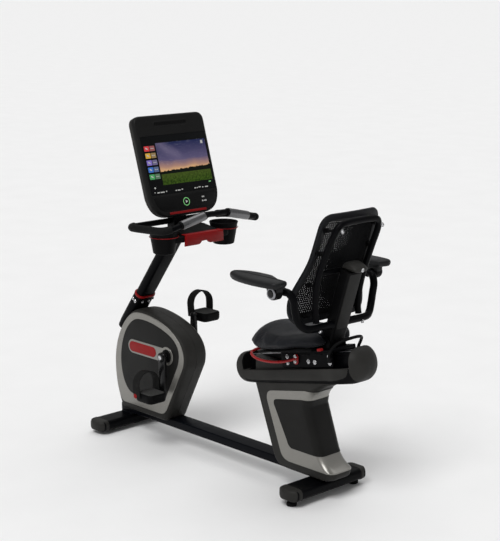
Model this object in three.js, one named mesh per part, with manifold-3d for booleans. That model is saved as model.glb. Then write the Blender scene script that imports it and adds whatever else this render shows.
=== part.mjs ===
// A recumbent exercise bike: a floor frame with an enclosed crank drive and a mast in front,
// and behind it a pedestal that carries a seat on an inclined sliding carriage.
// Millimetres. +Z is up, +X points behind the rider, and -Y is the rider's left.
import * as THREE from "three";
import { mergeVertices } from "three/addons/utils/BufferGeometryUtils.js";
import Module from "manifold-3d";

const wasm = await Module();
wasm.setup();

// ---------------------------------------------------------------- driving dimensions
const GAP = 0.3; // clearance between neighbours
const ORIGIN_SHIFT = 517.47; // from the rear stabiliser's centre line to the middle of the bike
const RAIL = { low: 74, high: 110, halfWidth: 40, front: -1240, rear: 60 };
const STABILISER = { width: 104, height: 46, tubeHalf: 190, half: 217, wall: 4 };
const REAR_FOOT = { height: 27, radius: 21, y: 178 };
const FRONT_X = -1215; // front stabiliser's centre line
const FRONT_LOW = 16; // its underside
const WHEEL = { radius: 25, width: 18, x: FRONT_X - 34, y: 160, z: 28 };
const PAD = { radius: 15, x: FRONT_X - 15, y: 120 };
const HUB = new THREE.Vector3(-879, 0, 404); // crank axis
const CRANK_LENGTH = 155;
const CRANK_Y = 90;
const PEDAL_Y = 158;
const PEDAL = { above: 13, below: 28 }; // its weight hangs below the spindle, so it stays level
const HOUSING_HALF = 62;
const MAST = { base: new THREE.Vector3(-1022, 0, 750), lean: 36.5, width: 92, depth: 44, top: 948 };
const CONSOLE = { foot: new THREE.Vector3(-799, 0, 1033), tilt: 17.3, halfWidth: 194 };
const BEAM = { x: 0, z: 538, slope: 12.2, front: -437, rear: 193 };
const ROTOR = new THREE.Vector3(-1060, 0, 262); // generator axis
const PULLEY = { drive: 105, driven: 30 };
const ARM_HUB = new THREE.Vector3(6, 0, 867);
const ARM_PAD = { y: 281, low: 891, high: 919 };
const RED = 0xb4141c;

// ---------------------------------------------------------------- helpers
const P2 = (x, y) => new THREE.Vector2(x, y);
const P3 = (x, y, z) => new THREE.Vector3(x, y, z);
const radians = THREE.MathUtils.degToRad;

// The closed solid of a geometry, for joins and cuts.
function solid(geometry) {
  const bare = geometry.index ? geometry.toNonIndexed() : geometry.clone();
  bare.deleteAttribute("normal");
  bare.deleteAttribute("uv");
  const merged = mergeVertices(bare, 1e-3);
  return new wasm.Manifold(
    new wasm.Mesh({
      numProp: 3,
      vertProperties: merged.attributes.position.array,
      triVerts: new Uint32Array(merged.index.array),
    }),
  );
}

const join = (...geometries) => geometries.map(solid).reduce((a, b) => a.add(b));
const cut = (base, ...tools) => tools.map(asSolid).reduce((a, b) => a.subtract(b), asSolid(base));
const common = (a, b) => asSolid(a).intersect(asSolid(b));

function asSolid(thing) {
  return thing instanceof THREE.BufferGeometry ? solid(thing) : thing;
}

function asGeometry(made) {
  if (made instanceof THREE.BufferGeometry) return made;
  const mesh = made.getMesh();
  const geometry = new THREE.BufferGeometry();
  geometry.setAttribute("position", new THREE.BufferAttribute(mesh.vertProperties, 3));
  geometry.setIndex(new THREE.BufferAttribute(mesh.triVerts, 1));
  geometry.computeVertexNormals();
  return geometry;
}

function block(x0, x1, y0, y1, z0, z1) {
  const g = new THREE.BoxGeometry(x1 - x0, y1 - y0, z1 - z0);
  return g.translate((x0 + x1) / 2, (y0 + y1) / 2, (z0 + z1) / 2);
}

// A cylinder between two points.
function rod(from, to, radius, sides = 16, endRadius = radius) {
  const along = to.clone().sub(from);
  const g = new THREE.CylinderGeometry(endRadius, radius, along.length(), sides);
  g.translate(0, along.length() / 2, 0);
  g.applyQuaternion(
    new THREE.Quaternion().setFromUnitVectors(P3(0, 1, 0), along.clone().normalize()),
  );
  return g.translate(from.x, from.y, from.z);
}

const rodY = (x, z, y0, y1, radius, sides = 20) => rod(P3(x, y0, z), P3(x, y1, z), radius, sides);

// A shape drawn in X and Z, between two values of Y.
function sidePlate(shape, y0, y1, curveSegments = 8) {
  const g = new THREE.ExtrudeGeometry(shape, { depth: y1 - y0, bevelEnabled: false, curveSegments });
  return g.rotateX(Math.PI / 2).translate(0, y1, 0);
}

// A shape drawn in X and Y, between two heights.
function slab(shape, z0, z1, curveSegments = 6) {
  const g = new THREE.ExtrudeGeometry(shape, { depth: z1 - z0, bevelEnabled: false, curveSegments });
  return g.translate(0, 0, z0);
}

function circle(radius, sides = 12) {
  const points = [];
  for (let i = 0; i < sides; i++) {
    const a = (i / sides) * 2 * Math.PI;
    points.push(P2(radius * Math.cos(a), radius * Math.sin(a)));
  }
  return new THREE.Shape(points);
}

// A round bar or tube along a smooth curve through points.
function bar(points, radius, steps, sides = 12, tension = 0.5) {
  const path = new THREE.CatmullRomCurve3(points, false, "catmullrom", tension);
  return new THREE.ExtrudeGeometry(circle(radius, sides), { extrudePath: path, steps });
}

function roundedBox(x0, y0, x1, y1, r) {
  const s = new THREE.Shape();
  s.moveTo(x0 + r, y0);
  s.lineTo(x1 - r, y0);
  s.absarc(x1 - r, y0 + r, r, -Math.PI / 2, 0);
  s.lineTo(x1, y1 - r);
  s.absarc(x1 - r, y1 - r, r, 0, Math.PI / 2);
  s.lineTo(x0 + r, y1);
  s.absarc(x0 + r, y1 - r, r, Math.PI / 2, Math.PI);
  s.lineTo(x0, y0 + r);
  s.absarc(x0 + r, y0 + r, r, Math.PI, 1.5 * Math.PI);
  return s;
}

const mirrored = (points) => points.map((p) => P3(p.x, -p.y, p.z));
const SIDES = [
  ["left", -1],
  ["right", 1],
];
const between = (side, inner, outer) => (side < 0 ? [-outer, -inner] : [inner, outer]);

const bike = new THREE.Group();
bike.position.x = ORIGIN_SHIFT;

const FINISH = {
  frame: { color: 0x16171a, roughness: 0.4, metalness: 0.5 },
  shell: { color: 0x343230, roughness: 0.5, metalness: 0 },
  silver: { color: 0x6e6c66, roughness: 0.32, metalness: 0.6 },
  panel: { color: 0x2b2a28, roughness: 0.35, metalness: 0.1 },
  black: { color: 0x121213, roughness: 0.5, metalness: 0 },
  rubber: { color: 0x0e0e0f, roughness: 0.8, metalness: 0 },
  vinyl: { color: 0x1b1d22, roughness: 0.45, metalness: 0 },
  mesh: { color: 0x161616, roughness: 0.7, metalness: 0 },
  steel: { color: 0x9a9a9a, roughness: 0.25, metalness: 0.9 },
  gloss: { color: 0x0a0a0b, roughness: 0.15, metalness: 0.2 },
  glass: { color: 0x0b0d14, roughness: 0.08, metalness: 0 },
  red: { color: RED, roughness: 0.4, metalness: 0 },
};

function add(name, made, finish, parent = bike) {
  const mesh = new THREE.Mesh(asGeometry(made), new THREE.MeshStandardMaterial(FINISH[finish]));
  mesh.name = name;
  parent.add(mesh);
  return mesh;
}

// ---------------------------------------------------------------- floor frame
// The stabilisers are flat oval tubes across the floor, closed by moulded caps.
function stabiliserSection(shrink = 0) {
  const w = STABILISER.width / 2 - shrink;
  const h = STABILISER.height / 2 - shrink;
  return roundedBox(-w, -h, w, h, 17 - shrink);
}

function stabiliserTube(x, low, half) {
  const z = low + STABILISER.height / 2;
  const outer = sidePlate(stabiliserSection(), -half, half, 4).translate(x, 0, z);
  const bore = sidePlate(stabiliserSection(STABILISER.wall), -half - 1, half + 1, 4);
  return { outer, tube: cut(outer, bore.translate(x, 0, z)) };
}

add("rear_stabiliser", stabiliserTube(0, REAR_FOOT.height, STABILISER.tubeHalf).tube, "frame");

function frontStabiliser() {
  const { outer, tube } = stabiliserTube(FRONT_X, FRONT_LOW, STABILISER.tubeHalf);
  let made = tube;
  for (const [, side] of SIDES) {
    const [y0, y1] = between(side, WHEEL.y - WHEEL.width / 2 - 5, WHEEL.y + WHEEL.width / 2 + 5);
    const cheeks = block(FRONT_X - 60, FRONT_X + 5, y0, y1, 0, 70);
    made = made.add(common(outer, cheeks));
    const notch = block(FRONT_X - 70, FRONT_X - 1, y0 + 4, y1 - 4, 0, WHEEL.z + WHEEL.radius + 3);
    const axleHole = rodY(WHEEL.x, WHEEL.z, y0 - 2, y1 + 2, 4.4, 12);
    made = cut(made, notch, axleHole);
  }
  const top = FRONT_LOW + STABILISER.height;
  return made.add(solid(block(FRONT_X - 25, FRONT_X + 40, -38, 38, top - 2, RAIL.low - GAP)));
}
add("front_stabiliser", frontStabiliser(), "frame");

function mainRail() {
  const { low, high, halfWidth, front, rear } = RAIL;
  const outer = block(front, rear, -halfWidth, halfWidth, low, high);
  return cut(outer, block(front - 1, rear + 1, 3 - halfWidth, halfWidth - 3, low + 3, high - 3));
}
add("main_rail", mainRail(), "frame");

// A cap is a short length of the same oval that rounds off towards its outer end.
function stabiliserCap(x, low, side) {
  const z = low + STABILISER.height / 2;
  const length = STABILISER.half - STABILISER.tubeHalf - GAP;
  const g = new THREE.ExtrudeGeometry(stabiliserSection(8), {
    depth: length - 9,
    bevelEnabled: true,
    bevelThickness: 8,
    bevelSize: 8,
    bevelSegments: 2,
    curveSegments: 3,
  });
  g.rotateX(Math.PI / 2).translate(0, -1, 0);
  const whole = solid(g.translate(x, 9 - STABILISER.tubeHalf - GAP - 8, z));
  const trimmed = common(whole, block(x - 90, x + 90, -300, -STABILISER.tubeHalf - GAP, 0, 200));
  return side < 0 ? trimmed : mirrorY(trimmed);
}

function mirrorY(made) {
  return made.mirror([0, 1, 0]);
}

for (const [name, side] of SIDES) {
  add("front_cap_" + name, stabiliserCap(FRONT_X, FRONT_LOW, side), "shell");
  add("rear_cap_" + name, stabiliserCap(0, REAR_FOOT.height, side), "shell");

  const foot = join(
    rod(P3(0, side * REAR_FOOT.y, 0), P3(0, side * REAR_FOOT.y, 16), REAR_FOOT.radius, 20, 18),
    rod(P3(0, side * REAR_FOOT.y, 15), P3(0, side * REAR_FOOT.y, 26.7), 9, 12),
  );
  add("levelling_foot_" + name, foot, "rubber");

  const pad = rod(P3(PAD.x, side * PAD.y, 0), P3(PAD.x, side * PAD.y, FRONT_LOW - GAP), PAD.radius, 16);
  add("front_pad_" + name, pad, "rubber");

  const [w0, w1] = between(side, WHEEL.y - WHEEL.width / 2, WHEEL.y + WHEEL.width / 2);
  const wheel = join(
    rodY(WHEEL.x, WHEEL.z, w0, w1, WHEEL.radius, 24),
    rodY(WHEEL.x, WHEEL.z, w0 - 3.5, w1 + 3.5, 4, 12),
  );
  add("transport_wheel_" + name, wheel, "rubber");
}

// ---------------------------------------------------------------- drive frame and mast
const leanBack = radians(MAST.lean);

// A point on the mast's axis at a height.
function onMast(z) {
  return P3(MAST.base.x + (z - MAST.base.z) * Math.tan(leanBack), 0, z);
}

// A rounded oval section pushed along the mast's axis between two heights.
function mastPiece(z0, z1, width, depth, radius) {
  const from = onMast(z0);
  const length = (z1 - z0) / Math.cos(leanBack);
  const g = slab(roundedBox(-depth / 2, -width / 2, depth / 2, width / 2, radius), 0, length, 5);
  return g.rotateY(leanBack).translate(from.x, 0, from.z);
}

function driveFrame() {
  const post = block(-1195, -1125, -30, 30, RAIL.high + GAP, 520);
  const tie = rod(P3(-1150, 0, 420), P3(HUB.x, 0, HUB.z), 20, 14);
  const strut = rod(P3(HUB.x, 0, HUB.z), P3(-935, 0, 125), 16, 14);
  const foot = block(-960, -905, -30, 30, RAIL.high + GAP, 132);
  const shell = rodY(HUB.x, HUB.z, -40, 40, 30, 24);
  const bore = rodY(HUB.x, HUB.z, -41, 41, 21, 24);
  const socket = mastPiece(500, 632, 98, 54, 24);
  const bracket = block(-1130, ROTOR.x + 18, 12, 18, ROTOR.z - 18, ROTOR.z + 18);
  const rotorHole = rodY(ROTOR.x, ROTOR.z, 0, 30, 9, 16);
  return cut(join(post, tie, strut, foot, shell, socket, bracket), bore, rotorHole);
}
add("drive_frame", driveFrame(), "frame");
const mastTop = block(-1100, -700, -100, 100, MAST.top, 1200);
const mastBore = mastPiece(600, 1010, MAST.width - 8, MAST.depth - 8, 16);
add("mast", cut(mastPiece(632 + GAP, 990, MAST.width, MAST.depth, 20), mastTop, mastBore), "frame");

function mastRing() {
  const whole = mastPiece(636, 650, MAST.width + 10, MAST.depth + 10, 24);
  return cut(whole, mastPiece(620, 670, MAST.width + 2 * GAP, MAST.depth + 2 * GAP, 20.3));
}
add("mast_ring", mastRing(), "red");

// ---------------------------------------------------------------- drive housing
// The side outline of the housing. The ring and the panel on each side follow it further in.
function housingOutline() {
  const s = new THREE.Shape();
  s.moveTo(-905, 96);
  s.lineTo(-1198, 96);
  s.bezierCurveTo(-1234, 130, -1256, 240, -1254, 310);
  s.bezierCurveTo(-1252, 420, -1190, 530, -1120, 567);
  s.bezierCurveTo(-1060, 590, -960, 570, -880, 541);
  s.bezierCurveTo(-790, 506, -735, 450, -764, 365);
  s.lineTo(-885, 130);
  s.quadraticCurveTo(-892, 110, -905, 96);
  return s;
}

function ringOutline() {
  const s = new THREE.Shape();
  s.moveTo(-930, 130);
  s.lineTo(-1184, 129);
  s.bezierCurveTo(-1224, 132, -1246, 240, -1243, 320);
  s.bezierCurveTo(-1240, 420, -1180, 525, -1112, 557);
  s.bezierCurveTo(-1050, 578, -950, 558, -882, 532);
  s.bezierCurveTo(-800, 497, -750, 445, -778, 367);
  s.lineTo(-886, 160);
  s.quadraticCurveTo(-902, 131, -930, 130);
  return s;
}

// The housing's inside follows its outline, a wall's thickness further in.
const HOUSING_MIDDLE = P2(-1005, 336);

function shrunk(shape, middle, factor) {
  const inward = (p) => P2(p.x, p.y).sub(middle).multiplyScalar(factor).add(middle);
  return new THREE.Shape(shape.getPoints(8).map(inward));
}

const AXLE_HOLE = 24;

function housingShell(side) {
  const [y0, y1] = between(side, 0.15, HOUSING_HALF);
  const [i0, i1] = between(side, -1, HOUSING_HALF - 3);
  const whole = sidePlate(housingOutline(), y0, y1);
  const inside = sidePlate(shrunk(housingOutline(), HOUSING_MIDDLE, 0.985), i0, i1);
  const rail = block(-1300, -700, -RAIL.halfWidth - 1, RAIL.halfWidth + 1, 0, RAIL.high + GAP);
  const mast = mastPiece(380, 760, 100, 56, 24);
  const axle = rodY(HUB.x, HUB.z, -100, 100, AXLE_HOLE);
  return cut(whole, inside, rail, mast, axle);
}

for (const [name, side] of SIDES) {
  add("housing_" + name, housingShell(side), "shell");
  const [y0, y1] = between(side, HOUSING_HALF + GAP, HOUSING_HALF + 3);
  const face = sidePlate(ringOutline(), y0, y1);
  add("housing_trim_" + name, cut(face, rodY(HUB.x, HUB.z, -100, 100, AXLE_HOLE)), "silver");
}

// ---------------------------------------------------------------- crank, belt and generator
// A shape around two circles, as a belt or a crank arm has.
function aroundTwo(a, b, radiusA, radiusB) {
  const turn = Math.atan2(b.y - a.y, b.x - a.x);
  const open = Math.acos((radiusA - radiusB) / a.distanceTo(b));
  const s = new THREE.Shape();
  s.absarc(a.x, a.y, radiusA, turn + open, turn - open + 2 * Math.PI);
  s.absarc(b.x, b.y, radiusB, turn - open, turn + open);
  return s;
}

const HUB_2D = P2(HUB.x, HUB.z);
const ROTOR_2D = P2(ROTOR.x, ROTOR.z);
const BELT_Y = [-56, -44];

add("crank_axle", rodY(HUB.x, HUB.z, -83.7, 83.7, 10, 20), "steel");

const pulley = rodY(HUB.x, HUB.z, ...BELT_Y, PULLEY.drive, 40);
add("drive_pulley", cut(pulley, rodY(HUB.x, HUB.z, -80, 80, 10 + GAP)), "black");

const rotor = join(
  rodY(ROTOR.x, ROTOR.z, 34, 54, 92, 40),
  rodY(ROTOR.x, ROTOR.z, -50, 40, 8, 16),
  rodY(ROTOR.x, ROTOR.z, ...BELT_Y, PULLEY.driven, 28),
);
add("generator_rotor", rotor, "steel");

function driveBelt() {
  const [y0, y1] = BELT_Y;
  const loop = (extra) =>
    aroundTwo(HUB_2D, ROTOR_2D, PULLEY.drive + extra, PULLEY.driven + extra);
  const outer = sidePlate(loop(3.5), y0 + 1, y1 - 1, 10);
  return cut(outer, sidePlate(loop(0.6), y0 - 5, y1 + 5, 10));
}
add("drive_belt", driveBelt(), "rubber");

function pedalBody(side) {
  const z = HUB.z + side * CRANK_LENGTH;
  const [y0, y1] = between(side, PEDAL_Y - 50, PEDAL_Y + 50);
  const plan = roundedBox(HUB.x - 55, y0, HUB.x + 55, y1, 24);
  const spindle = rodY(HUB.x, z, ...between(side, CRANK_Y + 8 + GAP, PEDAL_Y), 8, 14);
  return join(slab(plan, z - PEDAL.below, z + PEDAL.above, 4), spindle);
}

// The strap is a band that arches over the foot from one side of the pedal to the other.
function pedalStrap(side) {
  const z = HUB.z + side * CRANK_LENGTH;
  const y = side * PEDAL_Y;
  const half = 50 + GAP;
  const arch = (r, low) => {
    const s = new THREE.Shape();
    s.moveTo(-r, low);
    s.lineTo(r, low);
    s.lineTo(r, 52);
    s.absarc(0, 52, r, 0, Math.PI);
    return s;
  };
  const across = (shape, x0, x1) => {
    const g = new THREE.ExtrudeGeometry(shape, { depth: x1 - x0, bevelEnabled: false, curveSegments: 8 });
    return g.rotateX(Math.PI / 2).rotateZ(Math.PI / 2).translate(x0, 0, 0);
  };
  const outer = across(arch(half + 3.5, -10), HUB.x - 50, HUB.x - 10);
  return cut(outer, across(arch(half, -20), HUB.x - 60, HUB.x + 20)).translate([0, y, z]);
}

for (const [name, side] of SIDES) {
  const [b0, b1] = between(side, 28, 39.5);
  const bearing = rodY(HUB.x, HUB.z, b0, b1, 21 - GAP, 24);
  add("crank_bearing_" + name, cut(bearing, rodY(HUB.x, HUB.z, -80, 80, 10 + GAP)), "steel");

  const end = P2(HUB.x, HUB.z + side * CRANK_LENGTH);
  const arm = sidePlate(
    aroundTwo(HUB_2D, end, 21, 15),
    ...between(side, CRANK_Y - 6, CRANK_Y + 8),
    10,
  );
  add("crank_" + name, arm, "gloss");
  add("pedal_" + name, pedalBody(side), "black");
  add("pedal_strap_" + name, pedalStrap(side), "rubber");
}

// ---------------------------------------------------------------- pedestal
const beamSlope = radians(BEAM.slope);
const beam = new THREE.Group();
beam.position.set(BEAM.x, 0, BEAM.z);
beam.rotation.y = -beamSlope;
bike.add(beam);

// The height of a line that runs along the beam, a distance away from its middle.
const alongBeam = (x, offset) => BEAM.z + x * Math.tan(beamSlope) + offset / Math.cos(beamSlope);

function pedestalOutline(top) {
  const s = new THREE.Shape();
  s.moveTo(80, 84);
  s.lineTo(-150, 84);
  s.quadraticCurveTo(-202, 84, -222, 126);
  s.lineTo(-330, alongBeam(-330, top));
  s.lineTo(98, alongBeam(98, top));
  s.quadraticCurveTo(-22, 446, -26, 366);
  s.lineTo(36, 190);
  s.quadraticCurveTo(60, 142, 104, 124);
  s.quadraticCurveTo(112, 92, 80, 84);
  return s;
}

function seatPost(grow) {
  const s = new THREE.Shape();
  s.moveTo(-80 - grow, RAIL.high + GAP - grow);
  s.lineTo(10 + grow, RAIL.high + GAP - grow);
  s.lineTo(-70 + grow, alongBeam(-70, -30.3 + grow));
  s.lineTo(-180 - grow, alongBeam(-180, -30.3 + grow));
  return sidePlate(s, -28 - grow, 28 + grow);
}
add("seat_post", cut(seatPost(0), block(-300, 100, -23, 23, 135, 440)), "frame");

const PEDESTAL_MIDDLE = P2(-110, 265);

function pedestalShroud() {
  const whole = sidePlate(pedestalOutline(-76), -65, 65);
  const inside = sidePlate(shrunk(pedestalOutline(-76), PEDESTAL_MIDDLE, 0.975), -62, 62);
  const rail = block(-400, RAIL.rear + 1, -RAIL.halfWidth - 1, RAIL.halfWidth + 1, 0, RAIL.high + GAP);
  return cut(whole, inside, rail, seatPost(1));
}
add("pedestal_shroud", pedestalShroud(), "shell");

function pedestalTrim() {
  const s = new THREE.Shape();
  s.moveTo(70, 118);
  s.lineTo(-125, 119);
  s.quadraticCurveTo(-160, 120, -174, 150);
  s.lineTo(-252, 348);
  s.quadraticCurveTo(-262, 386, -228, 393);
  s.lineTo(42, 448);
  s.quadraticCurveTo(-20, 420, -27, 362);
  s.lineTo(34, 190);
  s.quadraticCurveTo(58, 142, 98, 126);
  s.quadraticCurveTo(92, 118, 70, 118);
  return s;
}
for (const [name, side] of SIDES) {
  const trim = sidePlate(pedestalTrim(), ...between(side, 65 + GAP, 67.5));
  add("pedestal_trim_" + name, trim, "silver");
}

// ---------------------------------------------------------------- seat beam and carriage
// The beam and all that slides on it are placed in the beam's own tilted frame.
const COVER = { half: 85, wall: 4, lip: -5, front: -467, rear: 243, window: [-384, 200] };

// The cover's section across the beam: upright sides over a chamfered keel.
function coverSection(half, low, x0, x1) {
  const s = new THREE.Shape();
  s.moveTo(-half, 90);
  s.lineTo(-half, low + 40);
  s.lineTo(-half + 40, low);
  s.lineTo(half - 40, low);
  s.lineTo(half, low + 40);
  s.lineTo(half, 90);
  const g = new THREE.ExtrudeGeometry(s, { depth: x1 - x0, bevelEnabled: false });
  return g.rotateX(Math.PI / 2).rotateZ(Math.PI / 2).translate(x0, 0, 0);
}

function beamCover() {
  const { front, rear, half } = COVER;
  const side = aroundTwo(P2(front + 63, 0), P2(rear - 73, 0), 63, 73);
  const bulk = sidePlate(side, -half, half, 10);
  const plan = slab(roundedBox(front, -half, rear, half, 78), -100, 100, 8);
  const shaped = common(bulk, plan, coverSection(half, -75, -600, 400));
  const [w0, w1] = COVER.window;
  const window = block(w0, w1, -100, 100, COVER.lip, 200);
  const trough = coverSection(half - COVER.wall, -70, -408, w1);
  const post = seatPost(1).translate(-BEAM.x, 0, -BEAM.z).rotateY(beamSlope);
  return cut(shaped, window, trough, post);
}
add("beam_cover", beamCover(), "shell", beam);
const railTube = cut(block(-404, 197, -34, 34, -30, 50), block(-410, 200, -29, 29, -25, 45));
add("seat_rail", railTube, "frame", beam);

function carriage() {
  const plate = block(-165, 115, -70, 70, 52, 66);
  const cheeks = [
    block(-165, 115, -70, -62, -3, 54),
    block(-165, 115, 62, 70, -3, 54),
  ];
  const pan = block(-190, 36, -98, 98, 65, 78);
  const ears = [-1, 1].map((side) =>
    sidePlate(
      aroundTwo(PIVOT, P2(PIVOT.x, 60), 20, 20),
      ...between(side, 40 + GAP, 48),
      8,
    ),
  );
  const pin = rodY(PIVOT.x, PIVOT.y, -60, 60, 7 + GAP, 16);
  return cut(join(plate, ...cheeks, pan, ...ears), pin);
}

// The backrest's hinge, in the beam's frame.
const PIVOT = P2(66, 96);
add("seat_carriage", carriage(), "frame", beam);
add("recline_pin", rodY(PIVOT.x, PIVOT.y, -51, 51, 7, 16), "steel", beam);

function seatCushion() {
  const s = new THREE.Shape();
  s.moveTo(-196, 78 + 1.5);
  s.lineTo(112, 79.5);
  s.quadraticCurveTo(132, 84, 130, 112);
  s.quadraticCurveTo(124, 130, 90, 134);
  s.lineTo(-60, 156);
  s.quadraticCurveTo(-180, 178, -246, 184);
  s.quadraticCurveTo(-292, 178, -278, 140);
  s.quadraticCurveTo(-250, 84, -196, 79.5);
  const bulk = sidePlate(s, -210, 210, 6);
  const plan = new THREE.Shape();
  plan.moveTo(-282, -110);
  plan.quadraticCurveTo(-276, -160, -220, -178);
  plan.quadraticCurveTo(-120, -202, -40, -188);
  plan.quadraticCurveTo(40, -168, 72, -106);
  plan.quadraticCurveTo(84, -80, 82, -48);
  plan.lineTo(82, 48);
  plan.quadraticCurveTo(84, 80, 72, 106);
  plan.quadraticCurveTo(40, 168, -40, 188);
  plan.quadraticCurveTo(-120, 202, -220, 178);
  plan.quadraticCurveTo(-276, 160, -282, 110);
  const notch = block(30, 200, -54, 54, 0, 300);
  return cut(common(bulk, slab(plan, 0, 300, 5)), notch);
}
add("seat_cushion", seatCushion(), "vinyl", beam);

// ---------------------------------------------------------------- release bar and recline lever
const WORLD_PIVOT = P3(
  BEAM.x + PIVOT.x * Math.cos(beamSlope) - PIVOT.y * Math.sin(beamSlope),
  0,
  BEAM.z + PIVOT.x * Math.sin(beamSlope) + PIVOT.y * Math.cos(beamSlope),
);

// A bar through points on the left, over the middle and back through the same points mirrored.
function symmetricBar(left, middle, radius, steps, sides = 10) {
  return bar([...left, ...middle, ...mirrored(left).reverse()], radius, steps, sides);
}

function releaseBar() {
  const left = [
    P3(-84, -78, 556),
    P3(-126, -104, 541),
    P3(-180, -124, 534),
    P3(-240, -130, 534),
    P3(-284, -122, 543),
    P3(-298, -96, 553),
  ];
  const ears = [-1, 1].map((side) => rodY(-84, 556, ...between(side, 70 + GAP, 84), 16, 16));
  return join(symmetricBar(left, [P3(-300, 0, 558)], 5.5, 32, 8), ...ears);
}
add("release_bar", releaseBar(), "red");

function reclineLever() {
  const left = [P3(97, -78, 588), P3(104, -82, 618), P3(124, -74, 650), P3(144, -46, 668)];
  const ears = [-1, 1].map((side) => rodY(97, 588, ...between(side, 70 + GAP, 82), 12, 14));
  return join(symmetricBar(left, [P3(152, 0, 674)], 6, 24, 8), ...ears);
}
add("recline_lever", reclineLever(), "black");

// ---------------------------------------------------------------- backrest
const COLUMN = { lean: 17.3, top: 936, half: 40, depth: 50 };

// A point on the column's middle line at a height.
function onColumn(z) {
  return P2(WORLD_PIVOT.x + (z - WORLD_PIVOT.z) * Math.tan(radians(COLUMN.lean)), z);
}

function backColumn() {
  const half = COLUMN.depth / 2 / Math.cos(radians(COLUMN.lean));
  const foot = P2(WORLD_PIVOT.x, WORLD_PIVOT.z);
  const low = onColumn(foot.y + 10);
  const high = onColumn(COLUMN.top);
  const s = new THREE.Shape([
    P2(low.x - half, low.y),
    P2(low.x + half, low.y),
    P2(high.x + half, high.y),
    P2(high.x - half, high.y),
  ]);
  const y = COLUMN.half;
  const made = join(sidePlate(s, -y, y), rodY(foot.x, foot.y, -y, y, COLUMN.depth / 2, 20));
  const pin = rodY(foot.x, foot.y, -60, 60, 7 + GAP, 16);
  return cut(made, pin, rodY(CROSS.x, CROSS.y, -100, 100, ARM_TUBE + GAP, 16));
}

const ARM_TUBE = 15; // radius
const CROSS = P2(74, 717); // the cross tube through the column's foot
add("back_column", backColumn(), "black");

function columnHood() {
  const s = new THREE.Shape();
  s.moveTo(112, COLUMN.top + GAP);
  s.lineTo(184, COLUMN.top + GAP);
  s.lineTo(190, 948);
  s.quadraticCurveTo(154, 982, 116, 960);
  return sidePlate(s, -42, 42, 6);
}
add("column_hood", columnHood(), "shell");

// One tube bent into a tall loop, with a rail across it in front of the column.
function backFrame() {
  const left = [
    P3(66, -119, CROSS.y + ARM_TUBE + GAP + 1),
    P3(62, -119, 770),
    P3(66, -124, 840),
    P3(85, -129, 920),
    P3(122, -126, 1010),
    P3(154, -122, 1082),
    P3(167, -108, 1116),
    P3(172, -78, 1128),
  ];
  const loop = symmetricBar(left, [P3(172, 0, 1130)], 13, 40, 8);
  const rail = rodY(91, 930, -126, 126, 10, 12);
  return join(loop, rail);
}
add("back_frame", backFrame(), "frame");

// The mesh's side line, from its top edge to its foot.
const MESH_LINE = [
  P2(142, 1160),
  P2(121, 1095),
  P2(88, 998),
  P2(52, 910),
  P2(24, 835),
  P2(14, 780),
  P2(18, 726),
];

function backMesh() {
  const curve = new THREE.SplineCurve(MESH_LINE);
  const front = [];
  const rear = [];
  for (let i = 0; i <= 14; i++) {
    const p = curve.getPointAt(i / 14);
    front.push(P2(p.x - 5, p.y));
    rear.unshift(P2(p.x + 5, p.y));
  }
  const sheet = sidePlate(new THREE.Shape([...front, ...rear]), -230, 230);
  const pear = new THREE.Shape();
  pear.moveTo(-150, 724);
  pear.quadraticCurveTo(-214, 732, -208, 800);
  pear.bezierCurveTo(-204, 880, -166, 920, -163, 1000);
  pear.lineTo(-160, 1110);
  pear.quadraticCurveTo(-156, 1158, -110, 1160);
  pear.lineTo(110, 1160);
  pear.quadraticCurveTo(156, 1158, 160, 1110);
  pear.lineTo(163, 1000);
  pear.bezierCurveTo(166, 920, 204, 880, 208, 800);
  pear.quadraticCurveTo(214, 732, 150, 724);
  const g = new THREE.ExtrudeGeometry(pear, { depth: 400, bevelEnabled: false, curveSegments: 8 });
  return common(sheet, g.rotateX(Math.PI / 2).rotateZ(Math.PI / 2).translate(-100, 0, 0));
}
add("back_mesh", backMesh(), "mesh");

// ---------------------------------------------------------------- armrests
// The arm tube runs from hub to hub, down behind the back's edges and through the column.
function armTube() {
  const left = [
    P3(ARM_HUB.x + 4, -242, ARM_HUB.z),
    P3(34, -234, 862),
    P3(50, -225, 834),
    P3(50, -218, 795),
    P3(52, -208, 757),
    P3(62, -186, 727),
    P3(CROSS.x, -150, CROSS.y),
  ];
  const middle = [P3(CROSS.x, -60, CROSS.y), P3(CROSS.x, 60, CROSS.y)];
  const tube = symmetricBar(left, middle, ARM_TUBE, 40);
  const axles = [-1, 1].map((side) =>
    rodY(ARM_HUB.x, ARM_HUB.z, ...between(side, 236, 296), 9, 14),
  );
  return join(tube, ...axles);
}
add("arm_tube", armTube(), "frame");

function armrest(side) {
  const out = (distance) => side * (ARM_PAD.y + distance);
  const plan = new THREE.Shape();
  plan.moveTo(-238, out(-15));
  plan.bezierCurveTo(-236, out(30), -160, out(58), -60, out(60));
  plan.quadraticCurveTo(10, out(60), 40, out(50));
  plan.quadraticCurveTo(62, out(40), 58, out(16));
  plan.lineTo(46, out(-24));
  plan.lineTo(-2, out(-30));
  plan.lineTo(-62, out(-60));
  plan.bezierCurveTo(-130, out(-68), -215, out(-60), -238, out(-15));
  const pad = slab(plan, ARM_PAD.low, ARM_PAD.high, 6);
  const barrel = rodY(ARM_HUB.x, ARM_HUB.z, ...between(side, 262, 300), 26, 24);
  return cut(join(pad, barrel), rodY(ARM_HUB.x, ARM_HUB.z, ...between(side, 200, 297), 9 + GAP, 16));
}
for (const [name, side] of SIDES) add("armrest_" + name, armrest(side), "black");

// ---------------------------------------------------------------- console
// The console's frame: its own X leaves the face, its own Z runs up the face.
const tilt = radians(CONSOLE.tilt);
const consoleGroup = new THREE.Group();
consoleGroup.position.copy(CONSOLE.foot);
consoleGroup.rotation.y = -tilt;
bike.add(consoleGroup);

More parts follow.
